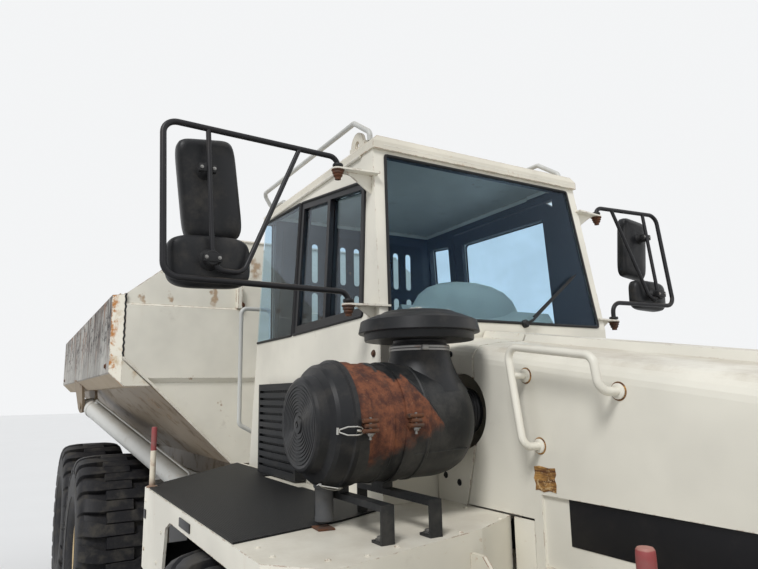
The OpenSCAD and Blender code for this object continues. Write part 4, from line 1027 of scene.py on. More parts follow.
@dataclass(frozen=True)
class Metal:
    """Bare metal: bright wire, polished rod or rusty iron."""

    name: str
    colour: Colour
    rough: float = 0.25
    metallic: float = 1.0
    rust: float = 0.0
    rust_light: Colour = RUST_LIGHT

    def build(self) -> Material:
        """Builds the material.

        Returns:
            The material.
        """
        b = Board(self.name)
        film = b.step(b.noise(24, 6, 0.7), 0.62 - 0.35 * self.rust, 0.80 - 0.3 * self.rust, 0,
                      0.3 + 0.7 * self.rust)
        colour = b.blend(film, self.colour, b.blend(b.noise(50, 4), RUST_DARK, self.rust_light))
        b.bump(b.noise(140, 3), 0.0006, 0.3)
        return b.finish(colour, b.step(film, 0, 1, self.rough, 0.85), Metallic=self.metallic)


@dataclass(frozen=True)
class Remains:
    """Brown remains of glue in ragged level bands."""

    name: str
    dark: Colour = (0.085, 0.030, 0.010)
    light: Colour = (0.50, 0.27, 0.075)

    def build(self) -> Material:
        """Builds the material.

        Returns:
            The material.
        """
        b = Board(self.name)
        bands = b.noise(95, 5, 0.75, stretch=(0.12, 1, 1))
        colour = b.blend(b.step(bands, 0.38, 0.66), self.dark, self.light)
        colour = b.blend(b.step(b.noise(60, 3, shift=(5, 1, 2)), 0.56, 0.7, 0, 0.7), colour,
                         (0.68, 0.50, 0.27))
        b.bump(bands, 0.0008, 0.5)
        return b.finish(colour, 0.8)


@dataclass(frozen=True)
class Cloth:
    """Dark woven seat cloth with a fine weave and a sheen."""

    name: str
    colour: Colour = (0.035, 0.036, 0.042)
    pitch: float = 380.0

    def build(self) -> Material:
        """Builds the material.

        Returns:
            The material.
        """
        b = Board(self.name)
        threads = [b.put("ShaderNodeTexWave", {"Vector": self.place_of(b, turn), "Scale": self.pitch},
                         wave_type="BANDS", bands_direction="X").outputs["Fac"] for turn in (0.785, -0.785)]
        weave = b.math("MULTIPLY", *threads)
        colour = b.blend(weave, tuple(c * 0.6 for c in self.colour), tuple(c * 1.7 for c in self.colour))
        colour = b.blend(b.step(b.noise(7, 6), 0.5, 0.75, 0, 0.4), colour, (0.13, 0.115, 0.095))
        b.bump(weave, 0.0008, 0.6)
        return b.finish(colour, 0.85, Sheen_Weight=0.35, Sheen_Roughness=0.5)

    @staticmethod
    def place_of(b: Board, turn: float) -> Socket:
        """The place, turned about each axis for one set of threads."""
        spot = b.put("ShaderNodeMapping", {"Vector": b.place, "Rotation": (turn, turn * 0.6, turn)})
        return spot.outputs[0]


@dataclass(frozen=True)
class Plastic:
    """Grained moulded plastic with dust, and optional rows of small holes."""

    name: str
    colour: Colour
    dust: float = 0.3
    rough: float = 0.5
    holes: float = 0.0

    def build(self) -> Material:
        """Builds the material.

        Returns:
            The material.
        """
        b = Board(self.name)
        film = b.step(b.noise(8, 8, 0.68), 0.45, 0.8, 0, self.dust)
        dusty = tuple(0.35 * c + 0.65 * d for c, d in zip(self.colour, (0.20, 0.175, 0.14)))
        colour = b.blend(film, self.colour, dusty)
        b.bump(b.noise(420, 2), 0.0005, 0.4)
        if self.holes:
            cells = b.put("ShaderNodeTexVoronoi", {"Vector": b.place, "Scale": self.holes, "Randomness": 0.0})
            pit = b.step(cells.outputs["Distance"], 0.22, 0.32)
            colour = b.blend(pit, (0.003, 0.003, 0.003), colour)
            b.bump(pit, 0.002, 0.8)
        return b.finish(colour, b.step(film, 0, 1, self.rough, 0.9), Specular_IOR_Level=0.25)


@dataclass(frozen=True)
class PoleTape:
    """Marker pole: red tape above, pale paint below, rust at the foot."""

    name: str
    tape_low: float = 1.876
    second_cap: float = 1.7965

    def build(self) -> Material:
        """Builds the material.

        Returns:
            The material.
        """
        b = Board(self.name)
        z = b.math("ADD", b.axis("Z"), b.math("MULTIPLY", b.noise(40, 3), 0.006))
        rear = b.step(b.axis("X"), 2.0, 2.01)
        red = b.blend(b.step(b.noise(18, 6, 0.7), 0.4, 0.75), (0.25, 0.045, 0.045), (0.20, 0.085, 0.075))
        pale = b.blend(b.step(b.noise(14, 6, 0.7), 0.5, 0.8), (0.66, 0.60, 0.48), (0.34, 0.20, 0.12))
        taped = b.blend(b.step(z, self.tape_low, self.tape_low + 0.003), pale, red)
        foot = b.blend(b.step(z, 1.70, 1.76, 0.9, 0), taped, FOOT_RUST)
        capped = b.blend(b.step(z, self.second_cap, self.second_cap + 0.003), red, (0.36, 0.16, 0.13))
        b.bump(b.noise(60, 4), 0.001, 0.4)
        return b.finish(b.blend(rear, foot, capped), 0.6)


def coat(finish: Finish) -> Material:
    """A palette entry whose material is built with the palette."""
    return field(default_factory=finish.build)


@dataclass
class Palette:
    """Every material of the truck, built once."""

    cream: Material = coat(Paint("cream_paint", CREAM, grime=0.22, rust=0.10, streaks=0.25, chips=0.5))
    # The cab and roof paints turn their faces inside the cab near-black: painted shade
    cab: Material = coat(Paint("cab_paint", CREAM, grime=0.20, rust=0.10, streaks=0.25, chips=0.5,
                               inside_shade=CAB_INSIDE_SHADE))
    roof: Material = coat(Paint("roof_paint", (0.74, 0.695, 0.585), grime=0.45, rust=0.3, streaks=0.4,
                                chips=0.9, dusty_top=0.8, inside_shade=CAB_INSIDE_SHADE))
    hood: Material = coat(Paint("hood_paint", (0.80, 0.77, 0.675), grime=0.15, rust=0.0, streaks=0.12,
                                chips=0.35, dusty_top=0.55))
    body: Material = coat(Paint("body_paint", CREAM, grime=0.30, rust=0.22, streaks=0.6, chips=0.9,
                                edge_width=0.014, stains=BODY_STAINS))
    hoist: Material = coat(Paint("hoist_paint", (0.57, 0.57, 0.54), grime=0.5, rust=0.25, streaks=0.4,
                                 chips=0.6))
    # The belly's dark brown is partly mud and rust and partly painted shade of the dump body's underside
    belly: Material = coat(Paint("belly_paint", (0.27, 0.215, 0.155), grime=0.85, rust=0.45, streaks=0.9,
                                 chips=0.6, gloss=0.2, grime_colour=(0.13, 0.095, 0.065)))
    frame: Material = coat(Paint("frame_paint", (0.74, 0.70, 0.595), grime=0.5, rust=0.3, streaks=0.5,
                                 chips=0.7, mud_top=0.55))
    grey: Material = coat(Paint("grey_paint", (0.17, 0.16, 0.145), grime=0.9, rust=0.4, streaks=0.3,
                                chips=0.6, mud_top=0.7))
    black: Material = coat(Paint("black_paint", (0.013, 0.013, 0.015), grime=0.25, rust=0.08, streaks=0.05,
                                 chips=0.2, grime_colour=(0.06, 0.055, 0.048), edge_width=0.004,
                                 dusty_top=0.15, gloss=0.25))
    gold: Material = coat(Paint("rim_paint", (0.56, 0.43, 0.235), grime=0.6, rust=0.25, streaks=0.3,
                                chips=0.6))
    side: Material = coat(Scraped("side_steel"))
    drum: Material = coat(Drum("drum_band"))
    cover: Material = coat(Plastic("cover_plastic", (0.011, 0.0115, 0.013), 0.28, 0.42))
    tube_grey: Material = coat(Plastic("dusty_rubber", (0.07, 0.072, 0.075), 0.4, 0.7))
    stripe: Material = coat(Plastic("stripe_black", (0.006, 0.006, 0.008), 0.08, 0.45))
    louvre: Material = coat(Plastic("louvre_plastic", (0.010, 0.011, 0.013), 0.15, 0.55, holes=38.0))
    dash: Material = coat(Plastic("dash_plastic", (0.36, 0.38, 0.33), 0.35, 0.6))
    tyre: Material = coat(Rubber("tyre_rubber", (0.011, 0.011, 0.013), (0.075, 0.068, 0.056), 0.7))
    mat: Material = coat(Rubber("deck_mat", (0.0045, 0.0048, 0.006), (0.05, 0.047, 0.042), 0.08, lines=38.0))
    rubber: Material = coat(Rubber("seal_rubber", dusty=0.15))
    # The window glass's blue is partly its tint and partly painted sky reflection; its blue gloss tint paints
    # the sky's reflection
    glass: Material = coat(Glass("window_glass", (0.66, 0.80, 0.90), 1.0, painted_sky_tint=(0.16, 0.42, 0.85), bend=1.2))
    lens: Material = coat(Glass("lamp_lens", (0.88, 0.90, 0.92), 0.8, 0.08))
    red_lens: Material = coat(Glass("red_lens", (0.55, 0.03, 0.02), 0.45, 0.12))
    mirror: Material = coat(Metal("mirror_silver", (0.85, 0.87, 0.88), 0.04))
    chrome: Material = coat(Metal("polished_rod", (0.72, 0.73, 0.74), 0.14))
    wire: Material = coat(Metal("bright_wire", (0.50, 0.49, 0.46), 0.3, rust=0.12))
    steel: Material = coat(Metal("dull_steel", (0.25, 0.245, 0.235), 0.42, rust=0.2))
    iron: Material = coat(Metal("rusty_iron", (0.07, 0.05, 0.04), 0.7, 0.3, 0.75, (0.20, 0.072, 0.026)))
    patch: Material = coat(Remains("glue_remains"))
    pole: Material = coat(PoleTape("pole_tape"))
    cloth: Material = coat(Cloth("seat_cloth"))


# Stage


@dataclass
class Studio:
    """Floor, lamps, world, and the camera at the photograph's place."""

    eye: tuple[float, float, float] = (4.156, -1.982, 2.140)
    yaw: float = 30.40
    pitch: float = 9.92
    roll: float = -1.02
    focus: float = 615.0
    photo_width: int = 758
    floor_half: float = 90.0
    backdrop: float = 0.90

    def build(self) -> None:
        """Makes the whole stage."""
        self._camera()
        self._floor()
        self._lamps()
        self._world()

    def _camera(self) -> None:
        """Sets the camera where the photograph was taken."""
        yaw, pitch, roll = map(math.radians, (self.yaw, self.pitch, self.roll))
        forward = Vector((-math.cos(yaw) * math.cos(pitch), math.sin(yaw) * math.cos(pitch), math.sin(pitch)))
        right = Vector((math.sin(yaw), math.cos(yaw), 0))
        up = right.cross(forward)
        across = right * math.cos(roll) + up * math.sin(roll)
        above = up * math.cos(roll) - right * math.sin(roll)
        data = bpy.data.cameras.new("camera")
        data.sensor_width = 36.0
        data.lens = self.focus / self.photo_width * data.sensor_width
        data.clip_start, data.clip_end = 0.05, 400
        camera = bpy.data.objects.new("camera", data)
        camera.matrix_world = Matrix([[across[i], above[i], -forward[i], self.eye[i]] for i in range(3)]
                                     + [[0, 0, 0, 1]])
        bpy.context.scene.collection.objects.link(camera)
        bpy.context.scene.camera = camera

    def _floor(self) -> None:
        """Lays a plain pale floor."""
        board = Board("floor")
        tone = board.blend(board.step(board.noise(0.6, 3), 0.3, 0.7), (0.735, 0.735, 0.73),
                           (0.745, 0.745, 0.74))
        mesh = bpy.data.meshes.new("floor")
        h = self.floor_half
        mesh.from_pydata([(-h, -h, 0), (h, -h, 0), (h, h, 0), (-h, h, 0)], [], [(0, 1, 2, 3)])
        mesh.materials.append(board.finish(tone, 0.9))
        floor = bpy.data.objects.new("floor", mesh)
        bpy.context.scene.collection.objects.link(floor)

    @staticmethod
    def _lamps() -> None:
        """Hangs a broad soft key lamp and a weak fill."""
        for name, way, strength, spread in (("key", (-0.42, 0.52, -0.78), 2.1, 0.30),
                                            ("fill", (-0.6, -0.7, -0.4), 0.45, 1.2)):
            lamp = bpy.data.lights.new(name, "SUN")
            lamp.energy, lamp.angle = strength, spread
            holder = bpy.data.objects.new(name, lamp)
            holder.matrix_world = Vector(way).to_track_quat("-Z", "Y").to_matrix().to_4x4()
            bpy.context.scene.collection.objects.link(holder)

    def _world(self) -> None:
        """Gives even light, and a pale background to the camera and to gloss and glass."""
        scene = bpy.context.scene
        scene.view_settings.view_transform = "Standard"
        scene.world = world = bpy.data.worlds.new("studio")
        world.use_nodes = True
        nodes, links = world.node_tree.nodes, world.node_tree.links
        light = next(n for n in nodes if n.type == "BACKGROUND")
        light.inputs["Color"].default_value = (0.93, 0.96, 1.0, 1)
        light.inputs["Strength"].default_value = 0.50
        pale = nodes.new("ShaderNodeBackground")
        pale.inputs["Color"].default_value = (self.backdrop, self.backdrop * 1.01, self.backdrop * 1.02, 1)
        rays = nodes.new("ShaderNodeLightPath")
        seen = rays.outputs["Is Camera Ray"]
        for name in ("Is Glossy Ray", "Is Transmission Ray"):
            join = nodes.new("ShaderNodeMath")
            join.operation = "MAXIMUM"
            links.new(seen, join.inputs[0])
            links.new(rays.outputs[name], join.inputs[1])
            seen = join.outputs[0]
        mix = nodes.new("ShaderNodeMixShader")
        links.new(seen, mix.inputs[0])
        links.new(light.outputs[0], mix.inputs[1])
        links.new(pale.outputs[0], mix.inputs[2])
        links.new(mix.outputs[0], next(n for n in nodes if n.type == "OUTPUT_WORLD").inputs[0])


# Sub-assemblies


@dataclass
class Assembly:
    """What every sub-assembly is made with."""

    paints: Palette
    repeats: Repeats


@dataclass
class Wheels(Assembly):
    """Tyres with interlocking tread bars, and the nuts and hubs of their rims. Sizes in millimetres."""

    half_track: float = 1170.0
    centre_z: float = 809.0
    stations: dict[str, float] = field(default_factory=lambda: {"front": 0.0, "middle": -4100.0,
                                                                "rear": -5800.0})
    bars: int = 26
    nuts: int = 20
    nut_circle: float = 200.0
    cover_bolts: int = 12
    cover_circle: float = 108.0
    # Half of the carcass's section, as (radius, distance from the tyre's middle)
    carcass: Profile = ((352, 222), (352, 246), (372, 264), (410, 285), (458, 301), (463, 307), (476, 308),
                        (482, 304.5), (545, 309), (600, 309.5), (650, 306), (690, 298), (722, 284),
                        (745, 266), (757, 238), (762, 170), (764, 60))
    # A bar's stations from past the middle to the shoulder: distance, top radius, half width, bottom
    # radius, sweep
    bar_path: tuple = ((-104, 801, 41, 750, 0.0), (-100, 808, 44, 750, 0.0), (0, 808.5, 45.5, 750, 0.0),
                       (108, 808, 45.5, 750, 0.0), (150, 806.5, 54, 749, 0.5), (195, 802, 59, 746, 1.3),
                       (235, 795, 61, 742, 2.1), (268, 783, 61, 730, 2.9), (290, 763, 59, 706, 3.4),
                       (304, 728, 56, 680, 3.8), (309, 700, 52, 662, 4.0), (305, 674, 44, 655, 4.1))

    def build(self) -> None:
        """Builds all six wheels."""
        for axle, x in self.stations.items():
            for side, sign in (("left", 1), ("right", -1)):
                self._wheel(f"{axle}_{side}", x, sign)

    def _bar(self, sign: int) -> Mesh:
        """Makes one tread bar.

        Args:
            sign: 1 for the outboard half of the tyre, -1 for the other.

        Returns:
            The mesh of the bar, about the wheel's centre.
        """
        sections = []
        for out, top, half, bottom, sweep in self.bar_path:
            points = []
            for w, r in ((-half - 3.5, bottom), (-half, top - 3), (-half + 3, top), (half - 3, top),
                         (half, top - 3), (half + 3.5, bottom)):
                angle = math.radians(sweep) + w / top
                points.append(Vector((r * math.sin(angle), sign * out, r * math.cos(angle))) / 1000)
            sections.append(points)
        return Sculpt().loft(sections).mesh("bar")

    def _wheel(self, name: str, x: float, sign: int) -> None:
        """Builds the tyre and the fasteners of one wheel.

        Args:
            name: Axle and side.
            x: Station of the axle.
            sign: 1 on the left, -1 on the right.
        """
        place = Matrix.Translation(at(x, sign * self.half_track, self.centre_z))
        turned = place @ Matrix.Rotation(0 if sign > 0 else math.pi, 4, "Z")
        side_on = Matrix.Rotation(-math.pi / 2, 4, "X")
        section = [(r / 1000, y / 1000) for r, y in self.carcass]
        section += [(r, -y) for r, y in reversed(section)]
        tyre = Sculpt().lathe(section, turned @ side_on, 96, ring=True)
        half_pitch = math.pi / self.bars
        tyre.add(self.repeats.ring(self._bar(1), self.bars, self.paints.tyre), turned)
        tyre.add(self.repeats.ring(self._bar(-1), self.bars, self.paints.tyre, half_pitch), turned)
        body = f"wheel_{name}"
        tyre.piece(f"tread_{name}", body, self.paints.tyre, Slot.TYRE, [f"tyre_{name}"], sharp=28)

        hub = Sculpt()
        circle = Vector((0, 0.030, self.nut_circle / 1000))
        hub.add(self.repeats.ring(self._stud(circle, 0.019, 0.022), self.nuts, self.paints.iron), turned)
        hub.lathe([(0, 0.092), (0.055, 0.092), (0.068, 0.084), (0.120, 0.082), (0.132, 0.072), (0.138, 0.058),
                   (0, 0.058)], turned @ side_on, 40)
        circle = Vector((0, 0.081, self.cover_circle / 1000))
        hub.add(self.repeats.ring(self._stud(circle, 0.010, 0.011), self.cover_bolts, self.paints.iron),
                turned)
        hub.piece(f"hub_{name}", body, self.paints.gold, Slot.RIM)

    @staticmethod
    def _stud(foot: Vector, radius: float, height: float) -> Mesh:
        """Makes a nut that stands outboard on a point.

        Args:
            foot: The point, about the wheel's centre.
            radius: Radius over the nut's corners, in metres.
            height: Height of the nut.

        Returns:
            The mesh of the nut.
        """
        bolt = hex_bolt(radius, height)
        bolt.transform(facing(foot, Vector((0, 1, 0))))
        return bolt


@dataclass
class AirCleaner(Assembly):
    """Drum on the right deck with its ringed cover, straps, clips and ducts. Sizes in millimetres."""

    x: float = 241.0
    z: float = 2037.0
    inner_y: float = -560.0
    strap_y: tuple[float, float] = (-1010.0, -838.0)
    cap_y: float = -662.0
    cap_rise: float = 280.0
    seam_radius: float = 203.6
    # Moulded seams, as (angle round the drum, side station)
    seams: tuple = (((62, -850), (55, -834), (4, -720), (-22, -716)), ((-31, -818), (-28, -594)))
    clips: tuple = (-4, -72, 195)
    # Profiles as (radius, distance along the axis)
    neck_rows: Profile = ((0, 30), (178, 42), (156, 76), (137, 112), (124, 146), (116, 172), (114, 190),
                          (114, 214), (104, 217), (104, 220), (0, 220))
    outlet_rows: Profile = ((0, 0), (37, 0), (37, 26), (31, 34), (30, 118), (32, 122), (32, 134), (26, 137),
                            (0, 137))
    cap_rows: Profile = ((0, 0.3), (96, 0.3), (100, 12), (207, 12), (209, 16), (210, 40), (230, 40),
                         (232, 43), (223, 84), (220, 87), (168, 108), (160, 104), (142, 118), (136, 121),
                         (60, 127), (0, 128))

    def build(self) -> None:
        """Builds every piece of the air cleaner."""
        self._barrel()
        self._cover()
        self._ducts()
        self._clips()
        self._straps()
        self._cap_trim()

    def _axis(self) -> Matrix:
        """Matrix that carries the local Z axis outboard along the drum."""
        return facing(at(self.x, self.inner_y, self.z), Vector((0, -1, 0)))

    def _barrel(self) -> None:
        """The drum with its beads."""
        rows = [(0, -42), (96, -42), (136, -35), (162, -20), (182, 4), (194, 32), (201, 64), (204, 92)]
        for bead in (205, 350):
            rows += [(204, bead - 9), (208, bead - 5), (208, bead + 5), (204, bead + 9)]
        rows += [(204, 466), (213, 470), (213, 478), (0, 478)]
        drum = Sculpt().turned(rows, self._axis(), 96)
        for seam in self.seams:
            path = []
            for (a0, y0), (a1, y1) in zip(seam, seam[1:]):
                path += [self._rim_point(a0 + (a1 - a0) * k / 10, self.seam_radius, y0 + (y1 - y0) * k / 10)
                         for k in range(10)]
            path.append(self._rim_point(seam[-1][0], self.seam_radius, seam[-1][1]))
            drum.tube(path, 0.0024, 6)
        drum.piece("cleaner_drum", Body.TRACTOR.value, self.paints.drum, Slot.BLACK, ["air_cleaner"])

    def _cover(self) -> None:
        """The cover with its rings and its middle boss."""
        rows = [(0, 470), (208, 470), (216, 474), (216, 490), (208, 494), (203, 516), (199, 536), (190, 547),
                (172, 553), (164, 558), (157, 588), (150, 596), (142, 599)]
        radius = 132.0
        while radius > 36:
            rows += [(radius, 597), (radius - 2, 599.5), (radius - 6, 599.5), (radius - 8, 597)]
            radius -= 12
        rows += [(30, 597), (28, 602), (12, 603), (10, 600), (6, 600), (5, 604), (0, 604)]
        Sculpt().turned(rows, self._axis(), 96).piece(
            "cleaner_cover", Body.TRACTOR.value, self.paints.cover, Slot.BLACK, sharp=25)

    def _ducts(self) -> None:
        """The neck under the rain cap, its clamp, the duct into the hood and the dust outlet."""
        neck = Sculpt()
        up = facing(at(self.x, self.cap_y, self.z + 60), UP)
        neck.turned(self.neck_rows, up, 72)
        neck.piece("cleaner_neck", Body.TRACTOR.value, self.paints.cover, Slot.BLACK)
        neck = Sculpt()
        duct = facing(at(185, -560, 2060), Vector((0, 1, 0)))
        rows = [(0, -60), (98, -60), (98, 30), (93, 34), (89, 60)]
        rows += [(89 if k % 2 else 94, 66 + k * 7) for k in range(14)] + [(90, 168), (0, 168)]
        neck.turned(rows, duct, 56)
        neck.piece("cleaner_duct", Body.TRACTOR.value, self.paints.cover, Slot.BLACK)
        down = facing(at(self.x, -1062, self.z - 180), Vector((0, 0, -1)))
        Sculpt().turned(self.outlet_rows, down, 32).piece(
            "dust_tube", Body.TRACTOR.value, self.paints.tube_grey, Slot.RUBBER)
        spots = ((-20, -1100), (50, -1106), (58, -1050), (-12, -1044))
        corners = [at(self.x + x, y, 1700.5) for x, y in spots]
        plate = Sculpt().prism(corners, Vector((0, 0, 0.006)), 0.001)
        plate.piece("tube_plate", Body.TRACTOR.value, self.paints.iron, Slot.BLACK)
        clamp = Sculpt()
        for height in (252, 262):
            ring = facing(at(self.x, self.cap_y, self.z + height), UP)
            rows = [(113, 0), (116, 0), (116, 7), (113, 7)]
            clamp.turned(rows, ring, 64, ring=True)
        clamp.block(at(self.x + 102, self.cap_y - 62, self.z + 251),
                    at(self.x + 118, self.cap_y - 38, self.z + 270), 0.002)
        clamp.piece("neck_clamps", Body.TRACTOR.value, self.paints.steel, Slot.CHROME)

    def _rim_point(self, angle: float, radius: float, y: float) -> Vector:
        """A point round the drum's axis, with the angle in degrees from the front, rising."""
        turn = math.radians(angle)
        return at(self.x + radius * math.cos(turn), y, self.z + radius * math.sin(turn))

    def _clips(self) -> None:
        """Wire clips that hold the cover."""
        clips = Sculpt()
        for angle in self.clips:
            loop = [self._rim_point(angle + a, r, y) for a, r, y in (
                (-2.5, 219, -1030), (-3.4, 219, -1050), (-3.4, 212, -1080), (-1, 203, -1106), (1, 203, -1106),
                (3.4, 212, -1080), (3.4, 219, -1050), (2.5, 219, -1030))]
            clips.tube(rounded(loop, 0.010, 4, closed=True), 0.0026, 8, closed=True)
            clips.tube([self._rim_point(angle, 216, -1036), self._rim_point(angle, 216, -1052)], 0.005, 8)
            clips.tube([self._rim_point(angle + a, 201, -1110) for a in (-3, 3)], 0.0045, 8)
        clips.piece("cover_clips", Body.TRACTOR.value, self.paints.wire, Slot.CHROME)

    def _straps(self) -> None:
        """T-bolts that draw the straps tight, their brackets and nuts."""
        rusty, bright = Sculpt(), Sculpt()
        for y in self.strap_y:
            tilt = 0.0 if y < -900 else 2.5
            for a in (3.6, -0.2, -4.0):
                wide = 24 if a > 3 or a < -3 else 17
                low = self._rim_point(tilt + a - 1.5, 207, y - wide)
                high = self._rim_point(tilt + a + 1.5, 237, y + wide)
                rusty.block(low, high, 0.005)
                rusty.tube([self._rim_point(tilt + a, 233, y - wide - 3),
                            self._rim_point(tilt + a, 233, y + wide + 3)], 0.007, 12)
            bright.tube([self._rim_point(tilt + 6.2, 232, y), self._rim_point(tilt - 11, 232, y)], 0.005, 10)
            foot = self._rim_point(tilt - 5.8, 232, y)
            bright.add(hex_bolt(0.0095, 0.010), facing(foot, self._rim_point(tilt - 8, 232, y) - foot))
            for x in (self.x + 284, self.x + 308):
                bright.add(hex_bolt(0.011, 0.010), facing(at(x, y - 2, 1708), UP))
        rusty.piece("strap_brackets", Body.TRACTOR.value, self.paints.iron, Slot.BLACK)
        bright.piece("strap_bolts", Body.TRACTOR.value, self.paints.steel, Slot.CHROME)

    def _cap_trim(self) -> None:
        """The flat rain cap with its stepped rim and the screws on its dome."""
        foot = self.z + self.cap_rise
        Sculpt().turned(self.cap_rows, facing(at(self.x, self.cap_y, foot), UP), 96).piece(
            "flat_cap", Body.TRACTOR.value, self.paints.cover, Slot.BLACK, ["rain_cap"], sharp=25)
        places = [(at(self.x + 120 * math.cos(t), self.cap_y + 120 * math.sin(t), foot + 122.0), UP)
                  for t in (0.6, 1.9, 3.1, 4.3, 5.5)]
        nut = [(at(self.x, self.cap_y, foot + 127.5), UP)]
        trim = Sculpt().add(self.repeats.spread(places, round_head(0.009, 0.005), self.paints.wire))
        trim.add(self.repeats.spread(nut, hex_bolt(0.016, 0.016), self.paints.wire))
        trim.piece("cap_screws", Body.TRACTOR.value, self.paints.wire, Slot.CHROME)


